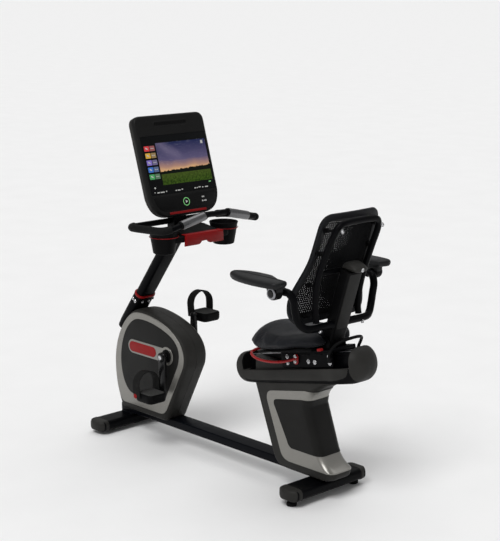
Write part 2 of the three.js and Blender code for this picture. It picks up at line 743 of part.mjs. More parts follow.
// The face's outline, drawn in the console's own Y and Z: wide soft corners at the foot.
function consoleOutline(inset) {
  const w = CONSOLE.halfWidth - inset;
  const [low, high] = [inset, 437 - inset];
  const [foot, head] = [92 - inset, 40 - inset / 2];
  const s = new THREE.Shape();
  s.moveTo(-w + foot, low);
  s.lineTo(w - foot, low);
  s.quadraticCurveTo(w - 12, low + 6, w - 2, low + foot);
  s.lineTo(w, high - head);
  s.quadraticCurveTo(w, high, w - head, high);
  s.lineTo(-w + head, high);
  s.quadraticCurveTo(-w, high, -w, high - head);
  s.lineTo(-w + 2, low + foot);
  s.quadraticCurveTo(-w + 12, low + 6, -w + foot, low);
  return s;
}

// A shape drawn in the console's Y and Z, between two depths.
function facePlate(shape, x0, x1, curveSegments = 7) {
  const g = new THREE.ExtrudeGeometry(shape, { depth: x1 - x0, bevelEnabled: false, curveSegments });
  return g.rotateX(Math.PI / 2).rotateZ(Math.PI / 2).translate(x0, 0, 0);
}

const SCREEN = { half: 178, low: 98, high: 347, depth: 6 };
const BUTTON = { z: 55, radius: 15 };
const CONSOLE_DEPTH = 44;

const screenHole = SCREEN.half + GAP;
const screenRecess = block(
  -SCREEN.depth - GAP,
  5,
  -screenHole,
  screenHole,
  SCREEN.low - GAP,
  SCREEN.high + GAP,
);
const buttonAt = (x0, x1, radius) => rod(P3(x0, 0, BUTTON.z), P3(x1, 0, BUTTON.z), radius, 24);
const consoleFront = facePlate(consoleOutline(0), -22, 0);
const buttonWell = buttonAt(-12, 5, BUTTON.radius + GAP);
add("console_front", cut(consoleFront, screenRecess, buttonWell), "shell", consoleGroup);

const screen = block(-SCREEN.depth, -0.5, -SCREEN.half, SCREEN.half, SCREEN.low, SCREEN.high);
add("screen_glass", screen, "glass", consoleGroup);
add("start_button", buttonAt(-8, 2.5, BUTTON.radius), "panel", consoleGroup);

function consoleBack() {
  const shell = facePlate(consoleOutline(3), -CONSOLE_DEPTH, -22 - GAP);
  const hump = facePlate(roundedBox(-120, 60, 120, 380, 50), -68, -CONSOLE_DEPTH + 1, 5);
  return join(shell, hump);
}
add("console_back", consoleBack(), "shell", consoleGroup);

function consoleBracket() {
  const neck = block(-906, -846, -36, 36, MAST.top + GAP, 1130);
  const front = block(-68 - GAP, 300, -300, 300, -300, 600);
  front.rotateY(-tilt).translate(CONSOLE.foot.x, 0, CONSOLE.foot.z);
  const under = block(-CONSOLE_DEPTH - GAP, 300, -300, 300, -300, 600);
  under.rotateY(-tilt).translate(CONSOLE.foot.x, 0, CONSOLE.foot.z);
  const bar = rod(P3(BAR_FRONT.x, -100, BAR_FRONT.z), P3(BAR_FRONT.x, 100, BAR_FRONT.z), BAR + GAP, 16);
  return cut(neck, front, bar);
}

// ---------------------------------------------------------------- tray and handlebar
const BAR = 14; // radius of the handlebar
const BAR_FRONT = P3(-884, 0, 998);
const CUP = { x: -766, y: 168, top: 986, low: 890, outer: 62, foot: 46, wall: 4 };
const TRAY = { low: 936, high: 962, front: -842, rear: -706, half: 150 };
add("console_bracket", consoleBracket(), "frame");

function accessoryTray() {
  const deck = slab(roundedBox(TRAY.front, -TRAY.half, TRAY.rear, TRAY.half, 20), TRAY.low, TRAY.high);
  const arm = block(TRAY.front - 3, TRAY.front + 8, -60, 60, TRAY.low, 975);
  let made = join(deck, arm);
  for (const [, side] of SIDES) {
    const y = side * CUP.y;
    const cup = rod(P3(CUP.x, y, CUP.low), P3(CUP.x, y, CUP.top), CUP.foot, 20, CUP.outer);
    made = made.add(solid(cup));
  }
  for (const [, side] of SIDES) {
    const y = side * CUP.y;
    const foot = P3(CUP.x, y, CUP.low + CUP.wall);
    const top = P3(CUP.x, y, CUP.top + 4);
    made = cut(made, rod(foot, top, CUP.foot - CUP.wall, 20, CUP.outer - CUP.wall));
  }
  return made;
}
add("accessory_tray", accessoryTray(), "black");

function trayLip() {
  const [x0, x1] = [TRAY.rear + GAP, TRAY.rear + 9];
  const whole = block(x0, x1, -107, 107, 920, 966);
  return cut(whole, rod(P3(x0 - 5, 0, 914), P3(x1 + 5, 0, 914), 17, 18));
}
add("tray_lip", trayLip(), "red");

// Half of the closed ring that the handlebar makes around the tray.
const BAR_LEFT = [
  P3(-628, 0, 1056),
  P3(-629, -60, 1055),
  P3(-636, -190, 1025),
  P3(-644, -236, 1014),
  P3(-676, -262, 1007),
  P3(-740, -266, 1004),
  P3(-840, -266, 1000),
  P3(-876, -246, 998),
  P3(-884, -205, 998),
  P3(-884, -100, 998),
  BAR_FRONT,
];

function handlebarHalf(points, radius) {
  return solid(bar(points, radius, 34, 8));
}

function handlebar() {
  // each half runs a little past the middle, so that the two join into one ring
  const past = (points) => {
    const made = points.map((p) => p.clone());
    made[0].y -= Math.sign(made[1].y) * 2;
    made[made.length - 1].y -= Math.sign(made[1].y) * 2;
    return made;
  };
  const halves = [BAR_LEFT, mirrored(BAR_LEFT)].map((points) => handlebarHalf(past(points), BAR));
  return halves[0].add(halves[1]);
}
add("handlebar", handlebar(), "black");

for (const [name, side] of SIDES) {
  const points = side < 0 ? BAR_LEFT : mirrored(BAR_LEFT);
  const alongGrip = (share) => points[1].clone().lerp(points[2], share);
  const sleeve = rod(alongGrip(0.04), alongGrip(0.96), 19, 18);
  add("sensor_grip_" + name, cut(sleeve, handlebarHalf(points, BAR + GAP)), "steel");
}

export default bike;
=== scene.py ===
import math

import bmesh
import bpy
import numpy as np
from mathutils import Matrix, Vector


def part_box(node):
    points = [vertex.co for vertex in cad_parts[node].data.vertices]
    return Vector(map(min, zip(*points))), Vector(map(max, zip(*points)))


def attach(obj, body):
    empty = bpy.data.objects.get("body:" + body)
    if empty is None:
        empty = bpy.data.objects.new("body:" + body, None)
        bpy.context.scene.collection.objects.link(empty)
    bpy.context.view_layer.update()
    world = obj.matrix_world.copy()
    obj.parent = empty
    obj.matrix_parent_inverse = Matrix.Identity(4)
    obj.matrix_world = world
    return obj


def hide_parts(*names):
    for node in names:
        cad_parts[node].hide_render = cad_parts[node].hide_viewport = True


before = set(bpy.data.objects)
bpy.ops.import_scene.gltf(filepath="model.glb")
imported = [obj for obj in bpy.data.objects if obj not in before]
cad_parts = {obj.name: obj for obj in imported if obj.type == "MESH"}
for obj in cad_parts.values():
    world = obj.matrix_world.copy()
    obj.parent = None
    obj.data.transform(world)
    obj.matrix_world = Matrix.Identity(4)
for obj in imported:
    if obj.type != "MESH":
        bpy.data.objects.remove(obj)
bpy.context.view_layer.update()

# The looks of the recumbent bike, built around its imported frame. Shapes are drawn in millimetres from the
# middle of the rear stabiliser, and put_in_row turns them into the frame's metres.
# +X points behind the rider, -Y is the rider's left and +Z is up.

MM = 0.001
rear_low, rear_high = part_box("rear_stabiliser")
REAR_X = (rear_low.x + rear_high.x) / 2  # the rear stabiliser's centre line, in metres

# ---------------------------------------------------------------- driving dimensions, mm
HUB = (-879.0, 404.0)  # crank axis, in X and Z
CRANK_LENGTH = 155.0
PEDAL_Y = 158.0
HOUSING_HALF = 62.0
RAIL = {"low": 74.0, "high": 110.0, "half": 40.0, "front": -1240.0, "rear": 60.0}
STABILISER = {"width": 104.0, "height": 46.0, "half": 217.0, "tube": 190.0, "corner": 17.0}
REAR_UNDERSIDE = 27.0
FRONT_UNDERSIDE = 16.0
FRONT_X = -1215.0
WHEEL = {"x": -1249.0, "y": 160.0, "z": 28.0, "radius": 25.0, "half": 9.0}
FOOT_Y = 178.0
MAST = {"x": -1022.0, "z": 750.0, "lean": 36.5, "width": 92.0, "depth": 44.0}
BEAM = {"z": 538.0, "slope": 12.2, "front": -437.0, "rear": 193.0, "half": 85.0}
CONSOLE = {"x": -799.0, "z": 1033.0, "tilt": 17.3, "half": 194.0, "height": 437.0, "depth": 44.0}
PIVOT = (44.2, 645.8)  # recline axis
ARM_HUB = (6.0, 867.0)
ARM_PAD = {"y": 281.0, "low": 891.0, "high": 919.0}
COLUMN = {"lean": 17.3, "top": 936.0, "half": 40.0, "depth": 50.0}
CROSS = (74.0, 717.0)  # the arm tube's straight middle
SIDES = (("left", -1), ("right", 1))


# ---------------------------------------------------------------- places
def tilted(x, z, degrees):
    """A local frame turned about Y: its X rises towards the rear by that many degrees."""
    c, s = math.cos(math.radians(degrees)), math.sin(math.radians(degrees))

    def place(points):
        p = np.asarray(points, float)
        return np.column_stack(
            (x + p[:, 0] * c - p[:, 2] * s, p[:, 1], z + p[:, 0] * s + p[:, 2] * c)
        )

    return place


ON_BEAM = tilted(0.0, BEAM["z"], BEAM["slope"])
ON_CONSOLE = tilted(CONSOLE["x"], CONSOLE["z"], CONSOLE["tilt"])
ON_MAST = tilted(MAST["x"], MAST["z"], -MAST["lean"])


def put_in_row(points):
    return np.asarray(points, float) * MM + (REAR_X, 0.0, 0.0)


# ---------------------------------------------------------------- outlines
class Outline:
    """A closed line of points, drawn from straight stretches, curves and arcs."""

    def __init__(self, x, y):
        self.points = [(x, y)]

    def line(self, x, y):
        self.points.append((x, y))
        return self

    def curve(self, *controls, steps=14):
        ends = [np.array(self.points[-1]), *(np.array(c, float) for c in controls)]
        degree = len(controls)
        for i in range(1, steps + 1):
            t = i / steps
            terms = (
                math.comb(degree, k) * t**k * (1 - t) ** (degree - k) * ends[k]
                for k in range(degree + 1)
            )
            self.points.append(tuple(sum(terms)))
        return self

    def arc(self, x, y, radius, start, end, steps=12):
        for i in range(steps + 1):
            a = math.radians(start + (end - start) * i / steps)
            self.points.append((x + radius * math.cos(a), y + radius * math.sin(a)))
        return self

    def closed(self):
        kept = []
        for p in self.points:
            if not kept or math.dist(p, kept[-1]) > 0.05:
                kept.append(p)
        if math.dist(kept[0], kept[-1]) < 0.05:
            kept.pop()
        ring = np.array(kept, float)
        x, y = ring[:, 0], ring[:, 1]
        area = np.dot(x, np.roll(y, -1)) - np.dot(y, np.roll(x, -1))
        return ring if area > 0 else ring[::-1].copy()


def resampled(ring, step):
    """The same closed line with points an even step apart."""
    closed = np.vstack((ring, ring[:1]))
    lengths = np.r_[0, np.cumsum(np.linalg.norm(np.diff(closed, axis=0), axis=1))]
    count = max(8, round(lengths[-1] / step))
    at = np.linspace(0, lengths[-1], count, endpoint=False)
    return np.column_stack([np.interp(at, lengths, closed[:, k]) for k in range(ring.shape[1])])


def inset(ring, distance):
    """A closed line moved inwards. Its corners keep their mitres up to twice the distance."""
    before = ring - np.roll(ring, 1, 0)
    after = np.roll(ring, -1, 0) - ring
    before /= np.linalg.norm(before, axis=1, keepdims=True)
    after /= np.linalg.norm(after, axis=1, keepdims=True)
    n1 = np.column_stack((-before[:, 1], before[:, 0]))
    n2 = np.column_stack((-after[:, 1], after[:, 0]))
    middle = n1 + n2
    middle /= np.maximum(np.linalg.norm(middle, axis=1, keepdims=True), 1e-9)
    reach = 1 / np.maximum((middle * n1).sum(1), 0.5)
    return ring + middle * (distance * reach)[:, None]


def rounded_box(x0, y0, x1, y1, r, steps=6):
    o = Outline(x0 + r, y0)
    o.arc(x1 - r, y0 + r, r, -90, 0, steps).arc(x1 - r, y1 - r, r, 0, 90, steps)
    o.arc(x0 + r, y1 - r, r, 90, 180, steps).arc(x0 + r, y0 + r, r, 180, 270, steps)
    return o.closed()


def around_two(a, b, radius_a, radius_b, steps=20):
    """The outline around two circles, as a crank arm has."""
    turn = math.degrees(math.atan2(b[1] - a[1], b[0] - a[0]))
    opening = math.degrees(math.acos((radius_a - radius_b) / math.dist(a, b)))
    start = (
        a[0] + radius_a * math.cos(math.radians(turn + opening)),
        a[1] + radius_a * math.sin(math.radians(turn + opening)),
    )
    o = Outline(*start).arc(*a, radius_a, turn + opening, turn - opening + 360, steps)
    return o.arc(*b, radius_b, turn - opening, turn + opening, steps).closed()


def disc(radius, sides=24):
    a = np.arange(sides) * 2 * math.pi / sides
    return np.column_stack((radius * np.cos(a), radius * np.sin(a)))


# ---------------------------------------------------------------- solids, each a pair of points and faces
PLANES = {
    "side": lambda ring, h: np.column_stack((ring[:, 0], np.full(len(ring), h), ring[:, 1])),
    "top": lambda ring, h: np.column_stack((ring[:, 0], ring[:, 1], np.full(len(ring), h))),
    "face": lambda ring, h: np.column_stack((np.full(len(ring), h), ring[:, 0], ring[:, 1])),
}


def loft(sections, caps=True):
    """Closed sections of one length, joined in order and closed at both ends."""
    n = len(sections[0])
    faces = []
    for k in range(len(sections) - 1):
        for i in range(n):
            j = (i + 1) % n
            faces.append((k * n + i, k * n + j, (k + 1) * n + j, (k + 1) * n + i))
    if caps:
        faces.append(tuple(range(n - 1, -1, -1)))
        last = (len(sections) - 1) * n
        faces.append(tuple(range(last, last + n)))
    return np.vstack(sections), faces


def plate(ring, levels, plane="side"):
    """An outline at several heights, each moved inwards by its own inset: (inset, height) pairs."""
    return loft([PLANES[plane](inset(ring, d) if d else ring, h) for d, h in levels])


def rounded_levels(low, high, radius, steps=4):
    """Levels that round both edges of a plate."""
    bend = []
    for i in range(steps + 1):
        a = math.pi / 2 * i / steps
        bend.append((radius * (1 - math.sin(a)), radius * (1 - math.cos(a))))
    bottom = [(d, low + h) for d, h in bend]
    return bottom + [(d, high - h) for d, h in reversed(bend)]


def crowned_levels(half, reach, depth, steps=8):
    """Levels of a form whose edges round off over a long reach, from a faint crease on its flat sides."""
    bend = []
    for i in range(steps + 1):
        a = math.radians(12 + 78 * i / steps)
        height = half - depth * math.cos(math.radians(12)) + depth * math.cos(a)
        bend.append((reach * (1 - math.sin(a)), height))
    high = bend[::-1]
    return [(d, -h) for d, h in bend] + high


def one_sided_levels(inner, outer, radius, steps=5):
    """Levels from a sharp inner edge to a rounded outer one. The two may lie on either side of 0."""
    sign = 1 if outer > inner else -1
    levels = [(0.0, inner)]
    for i in range(steps + 1):
        a = math.pi / 2 * i / steps
        levels.append((radius * (1 - math.cos(a)), outer - sign * radius * (1 - math.sin(a))))
    return levels


def block(low, high, radius=2.0):
    """A box with rounded edges."""
    ring = rounded_box(low[0], low[1], high[0], high[1], radius * 1.2, 4)
    return plate(ring, rounded_levels(low[2], high[2], radius, 3), "top")


def spline(points, steps):
    """A Catmull-Rom curve through points, in even steps of length."""
    p = np.asarray(points, float)
    padded = np.vstack((2 * p[0] - p[1], p, 2 * p[-1] - p[-2]))
    dense = []
    for i in range(1, len(padded) - 2):
        a, b, c, d = padded[i - 1 : i + 3]
        for t in np.linspace(0, 1, 24, endpoint=False):
            bend = (2 * a - 5 * b + 4 * c - d) * t**2
            twist = (3 * b - a - 3 * c + d) * t**3
            dense.append(0.5 * (2 * b + (c - a) * t + bend + twist))
    dense.append(p[-1])
    dense = np.array(dense)
    along = np.r_[0, np.cumsum(np.linalg.norm(np.diff(dense, axis=0), axis=1))]
    at = np.linspace(0, along[-1], steps + 1)
    return np.column_stack([np.interp(at, along, dense[:, k]) for k in range(3)])


def sweep(path, section, scale=None, closed=False, up=(0, 0, 1)):
    """A section in its own two axes, pushed along a path without twisting. scale grows it by place."""
    path = np.asarray(path, float)
    ahead = np.roll(path, -1, 0) - np.roll(path, 1, 0) if closed else np.gradient(path, axis=0)
    ahead /= np.linalg.norm(ahead, axis=1, keepdims=True)
    side = np.cross(np.array(up, float), ahead[0])
    side /= np.linalg.norm(side)
    rings = []
    for i, point in enumerate(path):
        side = side - ahead[i] * (side @ ahead[i])
        side /= np.linalg.norm(side)
        over = np.cross(ahead[i], side)
        grow = 1.0 if scale is None else scale[i]
        rings.append(point + grow * (section[:, :1] * side + section[:, 1:] * over))
    if closed:
        rings.append(rings[0].copy())
    return loft(rings, caps=not closed)


def tube(points, radius, steps=60, sides=20, soft_end=0.0):
    """A round tube along a smooth curve. soft_end rounds its two ends over that length."""
    path = spline(points, steps)
    scale = None
    if soft_end:
        length = np.r_[0, np.cumsum(np.linalg.norm(np.diff(path, axis=0), axis=1))]
        extra = length[-1] * np.array([0.0, 0.002, 0.006, 0.012])
        at = np.sort(np.r_[length[1:-1], extra, length[-1] - extra])
        path = np.column_stack([np.interp(at, length, path[:, k]) for k in range(3)])
        gap = np.minimum(at, at[-1] - at)
        scale = np.sqrt(np.clip(1 - (1 - np.clip(gap / soft_end, 0, 1)) ** 2, 0.05, 1))
    return sweep(path, disc(radius, sides), scale)


def lathe(profile, origin, direction, sides=32):
    """A profile of (radius, height) pairs turned about an axis."""
    direction = np.array(direction, float) / np.linalg.norm(direction)
    helper = np.array((1.0, 0, 0)) if abs(direction[0]) < 0.9 else np.array((0, 1.0, 0))
    u = np.cross(direction, helper)
    u /= np.linalg.norm(u)
    v = np.cross(direction, u)
    rings = []
    for r, h in profile:
        ring = disc(max(r, 0.05), sides)
        rings.append(np.array(origin) + ring[:, :1] * u + ring[:, 1:] * v + h * direction)
    return loft(rings)


def moved(part, place):
    return place(part[0]), part[1]


def flipped(part):
    return part[0] * (1, -1, 1), part[1]


def moved_all(parts, place):
    return [moved(part, place) for part in parts]


def mirrored(left, *middle):
    """A path from its left half: the half, what lies in the middle, and the half's reflection."""
    return left + list(middle) + [(x, -y, z) for x, y, z in reversed(left)]


def side_plate(ring, side, levels):
    """A plate whose levels are counted outwards from the middle, on one side of the bike."""
    return plate(ring, [(d, side * h) for d, h in levels])


def slab_between(ring, side, inner, outer, radius):
    """A plate with rounded edges between two distances from the middle, on one side of the bike."""
    low, high = sorted((side * inner, side * outer))
    return plate(ring, rounded_levels(low, high, radius))


def bolt(x, y, z, direction, radius=7.0, height=5.0):
    """A button-head bolt with a hexagon socket, on a washer."""
    r, h = radius, height
    profile = [(r * 1.45, 0), (r * 1.45, 1.0), (r * 1.4, 1.3), (r, 1.3), (r, h * 0.45)]
    profile += [(r * 0.93, h * 0.75), (r * 0.78, h * 0.94), (r * 0.6, h), (r * 0.5, h)]
    profile += [(r * 0.45, h * 0.45), (0, h * 0.4)]
    return lathe(profile, (x, y, z), direction, 24)


# ---------------------------------------------------------------- objects
def new_object(name, parts, sharp=38.0):
    """One mesh object from (points, faces) pairs in millimetres, faces out and sharp edges marked."""
    data = bpy.data.meshes.new(name)
    bm = bmesh.new()
    for points, faces in parts:
        verts = [bm.verts.new(p) for p in put_in_row(points)]
        for f in faces:
            corners = [verts[i] for i in dict.fromkeys(f)]
            if len(corners) > 2:
                bm.faces.new(corners)
    bmesh.ops.remove_doubles(bm, verts=bm.verts, dist=2e-6)
    bmesh.ops.recalc_face_normals(bm, faces=bm.faces)
    for f in bm.faces:
        f.smooth = True
    for e in bm.edges:
        if len(e.link_faces) == 2 and e.calc_face_angle(0) > math.radians(sharp):
            e.smooth = False
    bm.to_mesh(data)
    bm.free()
    made = bpy.data.objects.new(name, data)
    bpy.context.scene.collection.objects.link(made)
    return made


def finish_piece(made, material, body, nodes=()):
    made.data.materials.clear()
    made.data.materials.append(material)
    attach(made, body)
    if nodes:
        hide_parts(*nodes)
    return made


def piece(name, parts, material, body, nodes=(), sharp=38.0):
    return finish_piece(new_object(name, parts, sharp), material, body, nodes)


def apply_modifiers(made):
    """The object with its modifiers' result as its mesh."""
    graph = bpy.context.evaluated_depsgraph_get()
    result = bpy.data.meshes.new_from_object(made.evaluated_get(graph))
    made.modifiers.clear()
    made.data = result
    return made


def carve(made, cutters):
    """made with each cutter's solid taken out."""
    for cutter in cutters:
        m = made.modifiers.new("carve", "BOOLEAN")
        m.operation = "DIFFERENCE"
        m.object = cutter
        m.solver = "MANIFOLD"
    apply_modifiers(made)
    for cutter in cutters:
        bpy.data.objects.remove(cutter)
    return made


def moulded(made, voxel, rounds, factor=0.5):
    """made as one moulded skin with softened edges, from a remesh and some smoothing."""
    m = made.modifiers.new("skin", "REMESH")
    m.mode = "VOXEL"
    m.voxel_size = voxel * MM
    s = made.modifiers.new("soften", "SMOOTH")
    s.iterations = rounds
    s.factor = factor
    apply_modifiers(made)
    made.data.shade_smooth()
    return made


def place_object(made, place):
    """Moves the object's mesh, still in its local frame, to that frame's place."""
    points = np.array([v.co for v in made.data.vertices], float)
    local = (points - (REAR_X, 0.0, 0.0)) / MM
    made.data.vertices.foreach_set("co", put_in_row(place(local)).ravel().astype(np.float32))
    made.data.update()
    return made


# ---------------------------------------------------------------- materials
class Nodes:
    """A short way to write a material's nodes. An input is a number, a colour or another node's output."""

    def __init__(self, name):
        self.material = bpy.data.materials.new(name)
        self.material.use_nodes = True
        self.tree = self.material.node_tree
        self.shader = self.tree.nodes["Principled BSDF"]
        self.place = self.add("ShaderNodeTexCoord").outputs["Object"]

    def add(self, kind, **settings):
        node = self.tree.nodes.new(kind)
        for key, value in settings.items():
            setattr(node, key, value)
        return node

    def feed(self, socket, value):
        if isinstance(value, bpy.types.NodeSocket):
            self.tree.links.new(value, socket)
        elif hasattr(value, "__len__") and len(value) == 3 and socket.type == "RGBA":
            socket.default_value = (*value, 1.0)
        else:
            socket.default_value = value

    def set(self, **values):
        for key, value in values.items():
            self.feed(self.shader.inputs[key.replace("_", " ")], value)

    def math(self, operation, *inputs):
        node = self.add("ShaderNodeMath", operation=operation)
        for socket, value in zip(node.inputs, inputs):
            self.feed(socket, value)
        return node.outputs[0]

    def along(self, origin, axis):
        """How far a point lies from an origin along an axis."""
        away = self.add("ShaderNodeVectorMath", operation="SUBTRACT")
        self.feed(away.inputs[0], self.place)
        self.feed(away.inputs[1], origin)
        dot = self.add("ShaderNodeVectorMath", operation="DOT_PRODUCT")
        self.feed(dot.inputs[0], away.outputs[0])
        self.feed(dot.inputs[1], axis)
        return dot.outputs["Value"]

    def noise(self, scale, detail=3.0, stretch=None, rough=0.5):
        node = self.add("ShaderNodeTexNoise")
        where = self.place
        if stretch:
            mapping = self.add("ShaderNodeMapping")
            self.feed(mapping.inputs["Vector"], where)
            self.feed(mapping.inputs["Scale"], stretch)
            where = mapping.outputs[0]
        self.feed(node.inputs["Vector"], where)
        self.feed(node.inputs["Scale"], scale)
        self.feed(node.inputs["Detail"], detail)
        self.feed(node.inputs["Roughness"], rough)
        return node.outputs["Fac"]

    def cells(self, scale, feature="F1"):
        node = self.add("ShaderNodeTexVoronoi", feature=feature)
        self.feed(node.inputs["Vector"], self.place)
        self.feed(node.inputs["Scale"], scale)
        return node.outputs["Distance"]

    def spread(self, value, low, high, start=0.3, end=0.7):
        node = self.add("ShaderNodeMapRange")
        ends = (value, start, end, low, high)
        for key, v in zip(("Value", "From Min", "From Max", "To Min", "To Max"), ends):
            self.feed(node.inputs[key], v)
        return node.outputs[0]

    def ramp(self, value, *stops):
        node = self.add("ShaderNodeValToRGB")
        elements = node.color_ramp.elements
        while len(elements) < len(stops):
            elements.new(0.5)
        for element, (at, colour) in zip(elements, stops):
            element.position = at
            element.color = (*colour, 1.0)
        self.feed(node.inputs["Fac"], value)
        return node.outputs["Color"]

    def mix(self, share, a, b):
        node = self.add("ShaderNodeMix", data_type="RGBA")
        self.feed(node.inputs["Factor"], share)
        self.feed(node.inputs["A"], a)
        self.feed(node.inputs["B"], b)
        return node.outputs["Result"]

    def bump(self, *layers):
        """Bumps laid over each other: (height, depth in metres, strength)."""
        normal = None
        for height, depth, strength in layers:
            node = self.add("ShaderNodeBump")
            self.feed(node.inputs["Height"], height)
            self.feed(node.inputs["Distance"], depth)
            self.feed(node.inputs["Strength"], strength)
            if normal:
                self.feed(node.inputs["Normal"], normal)
            normal = node.outputs[0]
        self.feed(self.shader.inputs["Normal"], normal)


def varied(nodes, colour, amount=0.16, scale=9.0):
    """A colour that drifts a little from place to place, with fine speckle."""
    low = tuple(c * (1 - amount) for c in colour)
    high = tuple(c * (1 + amount) for c in colour)
    drift = nodes.mix(nodes.spread(nodes.noise(scale, 5.0), 0.0, 1.0), low, high)
    speck = nodes.spread(nodes.noise(1500.0, 2.0), 0.0, 0.5, 0.45, 0.75)
    return nodes.mix(speck, drift, tuple(c * 0.8 for c in colour))


def plastic(name, colour, roughness, grain=1100.0, depth=0.0004, strength=0.25, coat=0.0, specular=0.13):
    """Moulded plastic with a fine spark-eroded grain and faint handling marks."""
    n = Nodes(name)
    smudge = n.noise(14.0, 6.0, rough=0.62)
    n.set(Base_Color=varied(n, colour), Roughness=n.spread(smudge, roughness - 0.06, roughness + 0.09))
    n.set(Coat_Weight=coat, Coat_Roughness=0.22, Specular_IOR_Level=specular)
    n.bump((n.noise(grain, 2.0), depth, strength), (smudge, 0.002, 0.04))
    return n.material


def paint(name, colour, roughness, metallic=0.0, coat=0.15, specular=0.3):
    """Sprayed paint: orange peel, dust specks and a clear coat."""
    n = Nodes(name)
    peel = n.noise(260.0, 2.0)
    n.set(Base_Color=varied(n, colour, 0.1), Metallic=metallic)
    n.set(Roughness=n.spread(n.noise(22.0, 6.0), roughness - 0.05, roughness + 0.08))
    n.set(Coat_Weight=coat, Coat_Roughness=0.16, Specular_IOR_Level=specular)
    n.bump((peel, 0.0006, 0.12), (n.noise(1400.0, 1.0), 0.0002, 0.1))
    return n.material


def silver_paint():
    """Satin warm silver with fine metal flakes."""
    n = Nodes("silver_paint")
    flake = n.spread(n.cells(2200.0), 0.0, 1.0, 0.0, 0.6)
    base = n.mix(flake, (0.330, 0.320, 0.292), (0.220, 0.213, 0.195))
    drift = n.spread(n.noise(8.0, 4.0), 0.0, 0.22)
    n.set(Base_Color=n.mix(drift, base, (0.19, 0.185, 0.172)), Metallic=0.65)
    n.set(Roughness=n.spread(n.noise(30.0, 5.0), 0.3, 0.42), Coat_Weight=0.4, Coat_Roughness=0.2)
    n.bump((n.noise(420.0, 2.0), 0.0004, 0.1))
    return n.material


def rubber(name, colour, grain=700.0, strength=0.5):
    n = Nodes(name)
    dust = n.spread(n.noise(40.0, 7.0), 0.0, 0.35, 0.5, 0.8)
    n.set(Base_Color=n.mix(dust, colour, tuple(c * 1.9 + 0.004 for c in colour)))
    n.set(Roughness=n.spread(n.noise(60.0, 4.0), 0.68, 0.86), Specular_IOR_Level=0.08)
    n.bump((n.noise(grain, 3.0), 0.0006, strength), (n.noise(60.0, 3.0), 0.001, 0.06))
    return n.material


def vinyl(name, colour):
    """Upholstery vinyl: pebbled grain, soft creases and a low sheen."""
    n = Nodes(name)
    pebble = n.cells(620.0, "SMOOTH_F1")
    crease = n.noise(26.0, 6.0, rough=0.6)
    worn = n.spread(crease, 0.0, 0.5, 0.45, 0.75)
    n.set(Base_Color=n.mix(worn, varied(n, colour, 0.14, 12.0), tuple(c * 1.35 for c in colour)))
    n.set(Roughness=n.spread(crease, 0.4, 0.54), Sheen_Weight=0.03, Sheen_Roughness=0.5)
    n.set(Specular_IOR_Level=0.14)
    n.bump((pebble, 0.0005, 0.55), (crease, 0.003, 0.1), (n.noise(1600.0, 2.0), 0.0002, 0.2))
    return n.material


def metal(name, colour, roughness, brushed=None):
    """Bare metal, with brushing along an axis where the stretch says so."""
    n = Nodes(name)
    lines = n.noise(1.0, 4.0, brushed) if brushed else n.noise(300.0, 3.0)
    n.set(Base_Color=varied(n, colour, 0.06), Metallic=1.0)
    n.set(Roughness=n.spread(lines, roughness - 0.05, roughness + 0.09))
    n.bump((lines, 0.0003, 0.14))
    return n.material


def foam():
    """Closed-cell foam sleeve."""
    n = Nodes("grip_foam")
    colour = varied(n, (0.0060, 0.0060, 0.0062), 0.2, 30.0)
    n.set(Base_Color=colour, Roughness=n.spread(n.noise(90.0), 0.62, 0.8))
    n.set(Specular_IOR_Level=0.1)
    n.bump((n.cells(1100.0), 0.0005, 0.5), (n.noise(160.0, 3.0), 0.0008, 0.12))
    return n.material


def glow(name, colour, strength):
    """A lit patch of a display, with a faint grain."""
    n = Nodes(name)
    shade = n.spread(n.noise(900.0, 1.0), 0.86, 1.0)
    n.set(Base_Color=tuple(c * 0.25 for c in colour), Roughness=n.spread(shade, 0.16, 0.2, 0.86, 1.0))
    lit = n.mix(shade, tuple(c * 0.8 for c in colour), colour)
    n.set(Emission_Color=lit, Emission_Strength=strength, Specular_IOR_Level=0.04)
    return n.material


